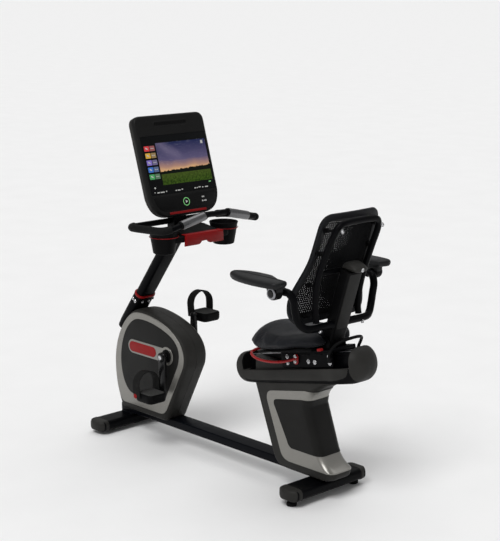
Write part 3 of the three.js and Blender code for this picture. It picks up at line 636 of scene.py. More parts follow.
def night_sky(low, high, left, right):
    """The display's picture: a starry dusk over a dark tree line and a field, between the plate's edges."""
    n = Nodes("screen_picture")
    lean = math.radians(CONSOLE["tilt"])
    up = (-math.sin(lean), 0.0, math.cos(lean))
    origin = tuple(put_in_row(ON_CONSOLE([(0.0, left, low)]))[0])
    v = n.math("DIVIDE", n.along(origin, up), (high - low) * MM)
    u = n.math("DIVIDE", n.along(origin, (0.0, 1.0, 0.0)), (right - left) * MM)
    haze = n.math("MULTIPLY", n.math("SUBTRACT", n.noise(16.0, 5.0), 0.5), 0.16)
    height = n.math("ADD", v, haze)
    sky = n.ramp(
        height,
        (0.30, (0.85, 0.50, 0.20)),
        (0.42, (0.42, 0.24, 0.18)),
        (0.58, (0.10, 0.085, 0.17)),
        (1.0, (0.016, 0.022, 0.075)),
    )
    tilt_line = n.math("SUBTRACT", n.math("ADD", u, n.math("MULTIPLY", v, 0.9)), 0.95)
    band = n.spread(n.math("ABSOLUTE", n.math("ADD", tilt_line, haze)), 0.55, 0.0, 0.0, 0.22)
    sky = n.mix(n.math("MULTIPLY", band, n.spread(v, 0.0, 1.0, 0.45, 0.8)), sky, (0.20, 0.17, 0.27))
    star = n.math("LESS_THAN", n.cells(190.0), 0.1)
    star = n.math("MULTIPLY", star, n.math("GREATER_THAN", v, 0.46))
    sky = n.mix(star, sky, (0.85, 0.85, 0.95))
    field = n.mix(n.spread(n.noise(170.0, 4.0), 0.0, 1.0), (0.006, 0.020, 0.003), (0.06, 0.11, 0.015))
    far = n.spread(v, 0.0, 0.5, 0.05, 0.26)
    field = n.mix(far, field, (0.07, 0.095, 0.02))
    jag = n.math("MULTIPLY", n.math("SUBTRACT", n.noise(110.0, 5.0), 0.5), 0.09)
    trees = n.math("ADD", n.math("ADD", 0.32, n.math("MULTIPLY", u, 0.05)), jag)
    scene_colour = n.mix(n.math("GREATER_THAN", v, trees), (0.006, 0.008, 0.006), sky)
    picture = n.mix(n.math("GREATER_THAN", v, 0.255), field, scene_colour)
    n.set(Base_Color=n.mix(0.85, picture, (0.0, 0.0, 0.0)), Roughness=n.spread(haze, 0.1, 0.14, -0.1, 0.1))
    n.set(Emission_Color=picture, Emission_Strength=0.8, Specular_IOR_Level=0.04)
    return n.material


CHARCOAL = plastic("charcoal_plastic", (0.0235, 0.0228, 0.0212), 0.47)
PANEL = plastic("dark_panel", (0.0092, 0.0090, 0.0085), 0.42, 900.0, 0.0003, 0.2)
BEZEL = plastic("console_plastic", (0.0080, 0.0080, 0.0079), 0.45, 1300.0, 0.0003, 0.25)
BLACK = plastic("black_plastic", (0.0038, 0.0038, 0.0041), 0.44, specular=0.05)
TREAD = plastic("pedal_tread", (0.062, 0.062, 0.060), 0.6, 500.0, 0.0008, 0.6)
ARM_SKIN = plastic("arm_pad_skin", (0.0115, 0.0118, 0.0125), 0.42, 800.0, 0.0004, 0.4, 0.05)
FRAME = paint("frame_paint", (0.0021, 0.0022, 0.0028), 0.32, 0.0, 0.0, 0.05)
# The rail is black paint whose blue tint is a painted reflection, standing in for the bluish sheen along its
# top.
RAIL_PAINT_BLUE_SHEEN = paint("rail_paint_blue_sheen", (0.0024, 0.0029, 0.0046), 0.32, 0.0, 0.0, 0.06)
GLOSS = paint("gloss_black", (0.0040, 0.0040, 0.0044), 0.2, 0.0, 0.1, 0.2)
SILVER = silver_paint()
RED_PAINT = paint("red_paint", (0.30, 0.006, 0.008), 0.28, 0.0, 0.2)
RED = plastic("red_plastic", (0.23, 0.005, 0.006), 0.38, 1200.0, 0.0002, 0.15, 0.05)
RUBBER = rubber("black_rubber", (0.0065, 0.0065, 0.0065))
STRAP = rubber("strap_rubber", (0.0105, 0.0105, 0.0102), 420.0, 0.4)
MESH = rubber("back_web", (0.0058, 0.0060, 0.0066), 900.0, 0.25)
VINYL = vinyl("seat_vinyl", (0.0095, 0.0102, 0.0128))
RIM = vinyl("back_rim_vinyl", (0.0068, 0.0074, 0.0090))
FOAM = foam()
CHROME = metal("bolt_chrome", (0.62, 0.62, 0.63), 0.15)
STEEL = metal("turned_steel", (0.30, 0.30, 0.32), 0.3)
GRIP = metal("sensor_metal", (0.17, 0.17, 0.175), 0.3, (900.0, 40.0, 900.0))
SCREEN_BLACK = paint("screen_cover", (0.004, 0.0045, 0.005), 0.16, 0.0, 0.0, 0.1)
KEYPAD = plastic("keypad_plastic", (0.0050, 0.0050, 0.0052), 0.34, 1500.0, 0.0002, 0.12, 0.0, 0.1)
MARK = glow("light_mark", (0.62, 0.62, 0.60), 0.5)
GREEN_GLOW = glow("green_glow", (0.22, 0.62, 0.22), 0.75)


# ---------------------------------------------------------------- floor frame
def stabiliser(name, x, low):
    """A flat oval tube across the floor, with a moulded cap at each end."""
    s = STABILISER
    middle = low + s["height"] / 2
    half_w, half_h = s["width"] / 2, s["height"] / 2
    ring = rounded_box(-half_w, -half_h, half_w, half_h, s["corner"], 8) + (x, middle)
    piece(name + "_tube", [plate(ring, [(0, -s["tube"] - 4), (0, s["tube"] + 4)])], FRAME, "frame",
          [name + "_stabiliser"])
    start, length = s["tube"] - 20, s["half"] - s["tube"] + 16
    sections = [PLANES["side"](inset(ring, d), start + h) for d, h in ((-0.2, 0), (-1.4, 1.0), (-1.6, 3.0))]
    for i in range(1, 13):
        t = math.sin(math.pi / 2 * i / 12)
        across, tall = (1 - t**2.3) ** 0.42, (1 - t**4.5) ** 0.3
        middle_point = np.array((x, middle))
        grown = middle_point + (inset(ring, -1.6) - middle_point) * (max(across, 0.12), max(tall, 0.3))
        sections.append(PLANES["side"](grown, start + 4 + length * t))
    for side_name, side in SIDES:
        cap = loft(sections)
        piece(f"{name}_cap_{side_name}", [cap if side > 0 else flipped(cap)], CHARCOAL, "frame",
              [f"{name}_cap_{side_name}"])


def floor_frame():
    stabiliser("rear", 0.0, REAR_UNDERSIDE)
    stabiliser("front", FRONT_X, FRONT_UNDERSIDE)
    r = RAIL
    rail = block((r["front"], -r["half"], r["low"]), (r["rear"], r["half"], r["high"]), 5.0)
    saddle = block((FRONT_X - 25, -37.5, 58), (FRONT_X + 40, 37.5, r["low"] + 1), 1.5)
    piece("rail_box", [rail, saddle], RAIL_PAINT_BLUE_SHEEN, "frame", ["main_rail"])
    plug = block((r["rear"] - 2, -36, r["low"] + 4), (r["rear"] + 4, 36, r["high"] - 4), 2.5)
    piece("rail_end_plug", [plug], BLACK, "frame")
    bolts = []
    for y in (-24, 24):
        bolts.append(bolt(0.0, y, r["high"], (0, 0, 1), 6.0, 4.0))
        bolts.append(bolt(FRONT_X + 8, y, r["high"], (0, 0, 1), 6.0, 4.0))
    piece("rail_bolts", bolts, CHROME, "frame")
    for name, side in SIDES:
        profile = [(18.5, 0), (20.6, 1.6), (21, 5), (20.5, 10), (18.5, 14), (16, 16), (11, 16.5), (9.5, 17)]
        profile += [(8.5, 18.4), (9, 19.8), (8.5, 21.2), (9, 22.6), (8.5, 24), (8.5, 26.6)]
        foot = lathe(profile, (0, side * FOOT_Y, 0), (0, 0, 1), 40)
        piece(f"foot_disc_{name}", [foot], RUBBER, f"foot_{name}", [f"levelling_foot_{name}"])
        pad = lathe([(13.8, 0), (15, 1.4), (15, 13), (14.5, 15.6)], (FRONT_X - 15, side * 120, 0), (0, 0, 1))
        piece(f"pad_disc_{name}", [pad], RUBBER, "frame", [f"front_pad_{name}"])
        w = WHEEL
        tread = [(4, -w["half"] - 3), (4, -w["half"] + 1), (10, -w["half"] + 1), (12, -w["half"])]
        tread += [(w["radius"] - 3, -w["half"]), (w["radius"] - 0.8, -w["half"] + 1.6), (w["radius"], 0)]
        tread += [(across, -h) for across, h in reversed(tread[:-1])]
        wheel = lathe(tread, (w["x"], side * w["y"], w["z"]), (0, 1, 0), 48)
        piece(f"wheel_tyre_{name}", [wheel], RUBBER, f"wheel_{name}", [f"transport_wheel_{name}"])


# ---------------------------------------------------------------- drive housing
def housing_outline():
    o = Outline(-905, 96).line(-1198, 96)
    o.curve((-1234, 130), (-1256, 240), (-1254, 310)).curve((-1252, 420), (-1190, 530), (-1120, 567))
    o.curve((-1060, 590), (-960, 570), (-880, 541)).curve((-790, 506), (-735, 450), (-764, 365))
    return resampled(o.line(-885, 130).curve((-892, 110), (-905, 96)).closed(), 9.0)


def ring_outline():
    o = Outline(-930, 130).line(-1184, 129)
    o.curve((-1224, 132), (-1246, 240), (-1243, 320)).curve((-1240, 420), (-1180, 525), (-1112, 557))
    o.curve((-1050, 578), (-950, 558), (-882, 532)).curve((-800, 497), (-750, 445), (-778, 367))
    return resampled(o.line(-886, 160).curve((-902, 131), (-930, 130)).closed(), 9.0)


def inner_panel_outline():
    o = Outline(-935, 184).line(-1118, 182)
    o.curve((-1172, 184), (-1202, 262), (-1202, 330)).curve((-1200, 430), (-1152, 508), (-1095, 531))
    o.curve((-1040, 548), (-930, 530), (-860, 498)).curve((-800, 468), (-785, 425), (-814, 362))
    return resampled(o.line(-888, 218).curve((-904, 186), (-935, 184)).closed(), 8.0)


PLATE_BAR = {"front": -1144.0, "low": 373.0, "high": 436.0}  # the keyhole plate's straight part
PILL = {"front": -1135.0, "rear": -951.0, "low": 381.0, "high": 427.0}


def keyhole_outline():
    """A disc around the crank's axle with a round-ended bar forward of it."""
    middle = (PLATE_BAR["low"] + PLATE_BAR["high"]) / 2
    half = (PLATE_BAR["high"] - PLATE_BAR["low"]) / 2
    disc_radius = 41.0
    meet = math.degrees(math.asin(half / disc_radius))
    o = Outline(PLATE_BAR["front"] + half, PLATE_BAR["low"])
    o.arc(*HUB, disc_radius, 180 + meet, 540 - meet, 30)
    return o.arc(PLATE_BAR["front"] + half, middle, half, 90, 270, 20).closed()


def housing_side(name, side):
    shell = housing_outline()
    levels = [(1.1, 0.2), (0.1, 0.8), (0.1, 1.6), (0.5, 20.0), (1.4, 38.0), (2.6, 47.0)]
    levels += [(4.4, 53.0), (7.2, 58.0), (10.4, 61.2), (13.0, HOUSING_HALF)]
    skin = side_plate(shell, side, levels)
    piece(f"housing_shell_{name}", [skin], CHARCOAL, "frame", [f"housing_{name}"])
    face = HOUSING_HALF + 0.2
    ring = side_plate(ring_outline(), side, one_sided_levels(face - 2, face + 2.8, 2.2))
    piece(f"housing_ring_{name}", [ring], SILVER, "frame", [f"housing_trim_{name}"])
    top = face + 2.6
    inner = side_plate(inner_panel_outline(), side, one_sided_levels(top - 1, top + 1.2, 1.2))
    piece(f"housing_panel_{name}", [inner], PANEL, "frame")
    top += 1.0
    key = side_plate(keyhole_outline(), side, one_sided_levels(top - 1, top + 2.6, 1.8))
    piece(f"keyhole_plate_{name}", [key], SILVER, "frame")
    top += 2.4
    half = (PILL["high"] - PILL["low"]) / 2
    pill = rounded_box(PILL["front"], PILL["low"], PILL["rear"], PILL["high"], half - 0.5, 12)
    badge = side_plate(pill, side, one_sided_levels(top - 1, top + 2.0, 1.6))
    piece(f"badge_pill_{name}", [badge], RED, "frame")
    collar = lathe([(27, 0), (29.5, 0), (29.5, 3), (28, 5), (24, 6.5), (14, 7.5)],
                   (HUB[0], side * (top - 1), HUB[1]), (0, side, 0), 48)
    piece(f"axle_collar_{name}", [collar], BLACK, "frame")


def crank_side(name, side):
    """A tapered arm with rounded edges, a boss at both ends and a chrome bolt on its axle."""
    end_z = HUB[1] + side * CRANK_LENGTH
    inner, outer = 83.0, 99.0
    arm = around_two(HUB, (HUB[0], end_z), 22.0, 16.5, 24)
    waist = around_two((HUB[0], HUB[1] + side * 30), (HUB[0], end_z - side * 26), 8.5, 6.0, 14)
    groove = side_plate(waist, side, one_sided_levels(outer - 2, outer + 1.2, 1.2))
    boss = lathe([(20, 0), (20, 4), (18, 6), (12.5, 7)], (HUB[0], side * outer, HUB[1]), (0, side, 0), 40)
    body = side_plate(arm, side, rounded_levels(inner, outer, 5.0))
    piece(f"crank_arm_{name}", [body, boss, groove], GLOSS, "crankset", [f"crank_{name}"])
    cap = lathe([(11, 0), (11, 1.4), (9.5, 2.4), (6.5, 2.6), (6, 0.8), (0, 0.8)],
                (HUB[0], side * (outer + 7), HUB[1]), (0, side, 0), 32)
    piece(f"crank_bolt_{name}", [cap], CHROME, "crankset")


PEDAL = {"half": 55.0, "above": 13.0, "below": 28.0}


def pedal_side(name, side):
    """A moulded pedal with a ribbed tread, a strap that arches over the foot and a tightening knob."""
    z = HUB[1] + side * CRANK_LENGTH
    low, high = sorted((side * (PEDAL_Y - 50), side * (PEDAL_Y + 50)))
    plan = rounded_box(HUB[0] - PEDAL["half"], low, HUB[0] + PEDAL["half"], high, 24, 8)
    shape = [(9.0, z - 28.0), (5.0, z - 27.0), (1.5, z - 22.0), (0.0, z - 14.0)]
    shape += [(0.0, z + 4.0), (0.8, z + 8.0), (3.0, z + 10.5), (6.0, z + 11.2)]
    axle = lathe([(9, 0), (9, 8), (7, 8.6), (7, 22)], (HUB[0], side * 98.6, z), (0, side, 0), 28)
    piece(f"pedal_body_{name}", [plate(plan, shape, "top"), axle], BLACK, f"pedal_{name}",
          [f"pedal_{name}"])
    tread = [plate(inset(plan, 7.0), one_sided_levels(z + 10.5, z + 12.0, 1.0), "top")]
    for i in range(9):
        x = HUB[0] - 40 + i * 10.0
        rib = rounded_box(x - 2.4, low + 11, x + 2.4, high - 11, 2.3, 5)
        tread.append(plate(rib, one_sided_levels(z + 11.5, z + 13.6, 1.2), "top"))
    piece(f"pedal_tread_{name}", tread, TREAD, f"pedal_{name}")
    strap(name, side, z)


def strap(name, side, z):
    reach = 53.0
    arch = [(-reach, -12.0), (-reach - 2.0, 20.0)]
    for i in range(25):
        a = math.pi * (1 - i / 24)
        arch.append(((reach + 3.0) * math.cos(a), 44.0 + 54.0 * math.sin(a)))
    arch += [(reach + 2.0, 20.0), (reach, -12.0)]
    path = [(HUB[0] - 30 - 6 * max(0.0, dz / 97), side * PEDAL_Y + dy, z + dz) for dy, dz in arch]
    band = rounded_box(-22, -2.2, 22, 2.2, 1.8, 4)
    made = [sweep(np.array(path), band, up=(0, 1, 0))]
    for k in range(5):
        dy = reach + 1.6
        made.append(block((HUB[0] - 44, side * PEDAL_Y - dy - 1.5, z - 2 + k * 8.0),
                          (HUB[0] - 18, side * PEDAL_Y - dy + 1.0, z + 1.5 + k * 8.0), 0.8))
    piece(f"pedal_strap_band_{name}", made, STRAP, f"pedal_{name}", [f"pedal_strap_{name}"])
    out = side * (PEDAL_Y + 50)
    at = (HUB[0] - 40, out, z - 4)
    profile = [(7, -2), (11, 0), (11.5, 2), (11, 6), (9, 8), (4, 8.8)]
    piece(f"strap_knob_{name}", [lathe(profile, at, (0, side, 0), 28)], RED, f"pedal_{name}")


def inner_drive():
    """Parts that are all but hidden keep their CAD shapes and get a material."""
    for node, material in (("drive_frame", FRAME), ("seat_post", FRAME), ("drive_belt", RUBBER),
                           ("drive_pulley", BLACK), ("generator_rotor", STEEL), ("crank_axle", STEEL),
                           ("crank_bearing_left", STEEL), ("crank_bearing_right", STEEL),
                           ("recline_pin", STEEL)):
        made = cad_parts[node]
        made.data.materials.clear()
        made.data.materials.append(material)


def mast_parts():
    """A flat oval mast that leans back over the housing, in a slightly wider socket with a red ring."""
    def section(grow):
        w, d = MAST["width"] / 2 + grow, MAST["depth"] / 2 + grow
        return rounded_box(-d, -w, d, w, 20 + grow, 10)

    def along(z):
        return (z - MAST["z"]) / math.cos(math.radians(MAST["lean"]))

    tube_part = loft([PLANES["top"](section(g), h) for g, h in ((0, along(560)), (0, along(953)))])
    piece("mast_tube", [moved(tube_part, ON_MAST)], FRAME, "frame", ["mast"])
    top = along(634)
    socket = [(2.0, along(470)), (4.5, along(500)), (4.5, top - 4), (3.6, top - 1), (1.5, top)]
    skin = loft([PLANES["top"](section(g), h) for g, h in socket])
    piece("mast_socket", [moved(skin, ON_MAST)], FRAME, "frame")
    ring = [(0.5, top + 0.4), (5.0, top + 1.0), (6.0, top + 3), (6.2, top + 6.5)]
    ring += [(5.6, top + 9.5), (4.2, top + 11), (0.5, top + 11.4)]
    band = loft([PLANES["top"](section(g), h) for g, h in ring])
    piece("mast_ring_band", [moved(band, ON_MAST)], RED, "frame", ["mast_ring"])
    heads = []
    for x in (-6.0, 12.0):
        for y, out in ((-MAST["width"] / 2 - 4.4, -1), (MAST["width"] / 2 + 4.4, 1)):
            heads.append(bolt(x, y, top - 24, (0, out, 0), 5.5, 4.0))
    heads.append(bolt(MAST["depth"] / 2 + 4.4, -18.0, top - 24, (1, 0, 0), 5.5, 4.0))
    heads.append(bolt(MAST["depth"] / 2 + 4.4, 18.0, top - 24, (1, 0, 0), 5.5, 4.0))
    piece("mast_bolts", moved_all(heads, ON_MAST), CHROME, "frame")


# ---------------------------------------------------------------- pedestal
def along_beam(x, offset):
    slope = math.radians(BEAM["slope"])
    return BEAM["z"] + x * math.tan(slope) + offset / math.cos(slope)


def by_height(points, heights):
    """X of a line of points at each height, from its foot up."""
    p = np.array(points, float)
    return np.interp(heights, p[:, 1], p[:, 0])


def pedestal_rear():
    o = Outline(80, 84).curve((112, 92), (104, 124), steps=8).curve((60, 142), (36, 190), steps=10)
    return o.line(-26, 366).curve((-22, 446), (98, along_beam(98, -76)), steps=14).points


def pedestal_front():
    return Outline(-150, 84).curve((-202, 84), (-222, 126), steps=8).line(-330, along_beam(-330, -60)).points


def u_section(front, rear, height, half, rear_round, proud):
    """A section that starts on one side, goes round the rear and comes back on the other."""
    r = rear_round
    back, side = rear + proud, half + proud
    points = [(front + (back - r - front) * i / 6, -side) for i in range(7)]
    for i in range(1, 9):
        a = math.radians(-90 + 90 * i / 8)
        points.append((back - r + r * math.cos(a), -side + r + r * math.sin(a)))
    points += [(x, -y) for x, y in reversed(points)]
    return [(x, y, height) for x, y in points]


def u_band(heights, fronts, rears, half, rear_round, proud, depth):
    """A thin closed skin whose rows are u_sections, with its inner face a little further in."""
    outer = [u_section(f, r, h, half, rear_round, proud) for h, f, r in zip(heights, fronts, rears)]
    inner = [u_section(f, r, h, half, rear_round, proud - depth) for h, f, r in zip(heights, fronts, rears)]
    rows, n = len(heights), len(outer[0])
    points = np.array(outer + inner, float).reshape(-1, 3)
    faces = []
    for k in range(rows - 1):
        for i in range(n - 1):
            a, b = k * n + i, (k + 1) * n + i
            faces.append((a, a + 1, b + 1, b))
            a, b = a + rows * n, b + rows * n
            faces.append((a, b, b + 1, a + 1))

    def rim(line):
        for a, b in zip(line[:-1], line[1:]):
            faces.append((a, b, b + rows * n, a + rows * n))
    rim(range(n))
    rim([(rows - 1) * n + i for i in range(n)][::-1])
    rim([k * n for k in range(rows)][::-1])
    rim([k * n + n - 1 for k in range(rows)])
    return points, faces


def pedestal():
    half, rear_round = 65.0, 34.0
    heights = np.r_[np.linspace(84, 130, 9), np.linspace(140, 366, 18), np.linspace(374, 520, 16)]
    front = by_height(pedestal_front(), heights)
    rear = by_height(pedestal_rear(), heights)
    sections = []
    for h, f, r in zip(heights, front, rear):
        squeeze = 6.0 * max(0.0, (92 - h) / 8) ** 2
        ring = Outline(f + squeeze, 0)
        ring.arc(f + 16 + squeeze, -half + 16 + squeeze, 16, 180, 270, 6)
        ring.arc(r - rear_round, -half + rear_round + squeeze, rear_round, -90, 0, 9)
        ring.arc(r - rear_round, half - rear_round - squeeze, rear_round, 0, 90, 9)
        ring.arc(f + 16 + squeeze, half - 16 - squeeze, 16, 90, 180, 6)
        sections.append([(x, y, h) for x, y in ring.points])
    sections = [np.array(s) for s in sections]
    piece("pedestal_shell", [loft(sections)], CHARCOAL, "frame", ["pedestal_shroud"])

    band_low, band_high = 119.0, 431.0
    rows = np.r_[np.linspace(band_low, 160, 9), np.linspace(168, 380, 20), np.linspace(386, band_high, 12)]
    o = Outline(-128, band_low).curve((-160, 121), (-174, 150), steps=8).line(-252, 348)
    fronts = by_height(o.curve((-262, 386), (-228, 393), steps=8).line(42, 448).points, rows)
    rears = by_height(pedestal_rear(), rows)
    fronts = np.minimum(fronts, rears - rear_round - 2)
    band = u_band(rows, fronts, rears, half, rear_round, 2.2, 2.6)
    piece("pedestal_band", [band], SILVER, "frame",
          ["pedestal_trim_left", "pedestal_trim_right"])

    low, high = 178.0, 391.0
    rows = np.r_[np.linspace(low, 215, 8), np.linspace(224, 340, 12), np.linspace(346, high, 12)]
    o = Outline(20, low).line(-112, low + 2).curve((-130, 182), (-137, 204), steps=6).line(-212, 340)
    o.curve((-218, 360), (-198, 364), steps=6).line(10, 404)
    fronts = by_height(o.points[1:], rows)
    rears = by_height(pedestal_rear(), rows)
    fronts = np.minimum(fronts, rears - rear_round - 2)
    inner = u_band(rows, fronts, rears, half, rear_round, 3.6, 2.6)
    piece("pedestal_panel", [inner], PANEL, "frame")


# ---------------------------------------------------------------- seat beam
COVER = {"front": -467.0, "rear": 243.0, "front_radius": 63.0, "rear_radius": 73.0, "plan_radius": 80.0}
WINDOW = (-384.0, 200.0)
LIP = -5.0  # the window's lower edge


def round_end(distance, radius, power=2.3):
    """How wide a round end is at a distance from its tip, as a share of its full width."""
    if distance >= radius:
        return 1.0
    return max(0.0, 1 - (1 - distance / radius) ** power) ** (1 / power)


def beam_size(x):
    """Half the beam's width and height at a place along it."""
    front, rear = x - COVER["front"], COVER["rear"] - x
    wide = BEAM["half"] * round_end(min(front, rear), COVER["plan_radius"])
    front_radius, rear_radius = COVER["front_radius"], COVER["rear_radius"]
    ends = (COVER["front"] + front_radius, COVER["rear"] - rear_radius)
    tall = np.interp(x, ends, (front_radius, rear_radius))
    tall *= round_end(front, front_radius, 2.1) * round_end(rear, rear_radius, 2.1)
    return wide, float(tall)


def beam_cover():
    """A moulded trough between two pillow-shaped end caps, with rounded flanks."""
    half = BEAM["half"]
    length = COVER["rear"] - COVER["front"]
    ends = [34.0 * (1 - math.cos(math.pi / 2 * i / 12)) + 0.3 for i in range(12)]
    ends += [34.0 + 46.0 * i / 10 + 0.3 for i in range(11)]
    stations = ends + [80.0 + (length - 160.0) * i / 20 for i in range(1, 20)]
    stations += [length - d for d in ends[::-1]]
    sections = []
    for d in stations:
        x = COVER["front"] + d
        wide, tall = beam_size(x)
        share = np.interp(min(d, length - d), (0, 30, 70, 120), (0.97, 0.9, 0.72, 0.52))
        corner = float(share) * min(wide, tall)
        sections.append(PLANES["face"](rounded_box(-wide, -tall, wide, tall, corner, 8), x))
    body = moulded(new_object("beam_shell", [loft(sections)]), 2.6, 2)
    cutters = []
    w0, w1 = WINDOW
    opening = rounded_box(w0, -130, w1, 130, 3, 3)
    cutters.append(new_object("cut_window", [plate(opening, [(0, LIP), (0, 200)], "top")]))
    inner = rounded_box(w0 + 3, -half + 7, w1 - 3, half - 7, 45, 8)
    cutters.append(new_object("cut_trough", [plate(inner, [(12, -60), (0, -48), (0, 10)], "top")]))
    carve(body, cutters)
    moulded(body, 2.2, 4)
    # The trough's inside and the window's front wall get black plastic: painted shade for the recess under
    # the window.
    trough_painted_shade = []
    for face in body.data.polygons:
        x, y, z = (face.center - Vector((REAR_X, 0.0, 0.0))) / MM
        in_trough = w0 < x < w1 and abs(y) < half - 5 and z < LIP - 2
        if in_trough or (abs(x - w0) < 4 and face.normal.x > 0.6):
            trough_painted_shade.append(face.index)
    place_object(body, ON_BEAM)
    finish_piece(body, CHARCOAL, "frame", ["beam_cover"])
    body.data.materials.append(BLACK)
    for index in trough_painted_shade:
        body.data.polygons[index].material_index = 1


def seat_rail():
    rail = block((-404, -34, -30), (197, 34, 50), 4.0)
    lips = [block((-400, side * 34 - 3, 40), (195, side * 34 + 3, 46), 1.5) for side in (-1, 1)]
    piece("rail_beam", moved_all((rail, *lips), ON_BEAM), FRAME, "frame", ["seat_rail"])
    steel = [block((-380, side * 22 - 6, 49.2), (190, side * 22 + 6, 51.0), 0.8) for side in (-1, 1)]
    piece("rail_runners", moved_all(steel, ON_BEAM), STEEL, "frame")


def carriage():
    """The slide under the seat: a plate with cheeks, a pan for the cushion and ears for the recline pin."""
    parts = [block((-165, -70, 52), (115, 70, 66), 3.0), block((-190, -98, 65), (36, 98, 78), 3.0)]
    for side in (-1, 1):
        cheek = rounded_box(-165, -3, 115, 58, 10, 6)
        parts.append(slab_between(cheek, side, 62, 70, 1.6))
        ear = around_two((66, 96), (66, 60), 20, 20, 16)
        parts.append(slab_between(ear, side, 40.3, 48, 1.4))
    piece("carriage_body", moved_all(parts, ON_BEAM), FRAME, "carriage",
          ["seat_carriage"])
    steps = [block((-120 + 70 * i, side * 71.0 - 1.4, 46), (-76 + 70 * i, side * 71.0 + 1.4, 52), 0.8)
             for i in range(3) for side in (-1, 1)]
    piece("carriage_steps", moved_all(steps, ON_BEAM), FRAME, "carriage")
    heads = []
    for side in (-1, 1):
        for x, z in ((-136, 553), (-133, 528), (-20, 556), (14, 560), (88, 597), (94, 573)):
            heads.append(bolt(x, side * 70, z, (0, side, 0), 6.0, 5.0))
    piece("carriage_bolts", heads, CHROME, "carriage")


def seat_profile(u):
    """The cushion's underside and crown at a place along it, from its front lip at 0 to its rear at 1."""
    x = -284 + 366 * u
    places = (0, 0.04, 0.09, 0.16, 0.30, 0.55, 0.8, 0.95, 1.0)
    crown = np.interp(u, places, (158, 181, 187, 184, 169, 150, 141, 135, 122))
    under = np.interp(u, (0, 0.05, 0.14, 0.25, 1.0), (136, 112, 94, 82, 82))
    return x, under, crown


def seat_half_width(u):
    places = (0, 0.06, 0.2, 0.42, 0.62, 0.78, 0.9, 1.0)
    return float(np.interp(u, places, (96, 138, 170, 190, 190, 168, 132, 92)))


def seat_cushion():
    """A foam seat, dished behind a raised front lip, with lower wings. A cloth run plumps it."""
    rows, across = 40, 44
    sections = []
    for k in range(rows + 1):
        u = 0.5 - 0.5 * math.cos(math.pi * k / rows)
        x, under, crown = seat_profile(u)
        half = seat_half_width(u) - 4
        end = max(0.06, (1 - abs(2 * u - 1) ** 6) ** 0.5)
        lift = crown - under
        top, bottom = [], []
        for i in range(across + 1):
            w = math.sin(math.pi / 2 * (2 * i / across - 1))
            fall = (12.0 + 46.0 * (1 - u) ** 1.6) * abs(w) ** 2.2
            back = min(1.0, max(0.0, (u - 0.12) / 0.8))
            dish = 7.0 * math.exp(-((abs(w) - 0.42) / 0.3) ** 2) * math.sin(math.pi * back)
            crest = under + (lift - fall - dish) * end
            low = under + 13.0 * abs(w) ** 3 * end
            middle = 0.5 * (low + max(crest, low + 8.0))
            round_side = max(0.0, 1 - abs(w) ** 12) ** 0.5
            top.append((x, half * w, middle + max(crest - middle, 4.0) * round_side))
            bottom.append((x, half * w, middle + (low - middle) * round_side))
        sections.append(np.array(top + bottom[::-1][1:-1], float))
    body = new_object("seat_pad", [moved(loft(sections), ON_BEAM)])
    notch = new_object("cut_notch", [moved(block((34, -55, 0), (220, 55, 320), 8.0), ON_BEAM)])
    carve(body, [notch])
    moulded(body, 5.0, 6)
    inflate(body, 3.0, 6.0)
    finer = body.modifiers.new("finer", "SUBSURF")
    finer.levels = finer.render_levels = 1
    apply_modifiers(body)
    settle_on_pan(body)
    body.data.shade_smooth()
    finish_piece(body, VINYL, "carriage", ["seat_cushion"])
    base = rounded_box(-236, -160, 24, 160, 60, 10)
    shell = plate(base, rounded_levels(77.5, 84.0, 2.6), "top")
    piece("seat_base_shell", [moved(shell, ON_BEAM)], BLACK, "carriage")
    tab = block((92, -124, 70), (112, -108, 80), 2.0)
    piece("seat_tab", [moved(tab, ON_BEAM)], RED, "carriage")


def settle_on_pan(made):
    """Presses the cushion flat where it rests on its pan."""
    slope = math.radians(BEAM["slope"])
    up = Vector((-math.sin(slope), 0.0, math.cos(slope)))
    base = Vector(put_in_row(ON_BEAM([(0.0, 0.0, 80.0)]))[0])
    for v in made.data.vertices:
        lift = (v.co - base) @ up
        if lift < 0:
            v.co -= up * lift


def inflate(made, pressure, cap):
    """Plumps a closed skin by air pressure in a short cloth run. No point moves over cap millimetres."""
    rest = np.array([v.co for v in made.data.vertices], float)
    cloth = made.modifiers.new("air", "CLOTH")
    cloth.settings.use_pressure = True
    cloth.settings.uniform_pressure_force = pressure
    cloth.settings.effector_weights.gravity = 0.0
    cloth.settings.quality = 6
    scene = bpy.context.scene
    for f in range(1, 15):
        scene.frame_set(f)
    graph = bpy.context.evaluated_depsgraph_get()
    puffed = np.array([v.co for v in made.evaluated_get(graph).data.vertices], float)
    made.modifiers.clear()
    scene.frame_set(1)
    move = puffed - rest
    length = np.maximum(np.linalg.norm(move, axis=1, keepdims=True), 1e-9)
    move *= np.minimum(1.0, cap * MM / length)
    made.data.vertices.foreach_set("co", (rest + move).ravel().astype(np.float32))
    made.data.update()


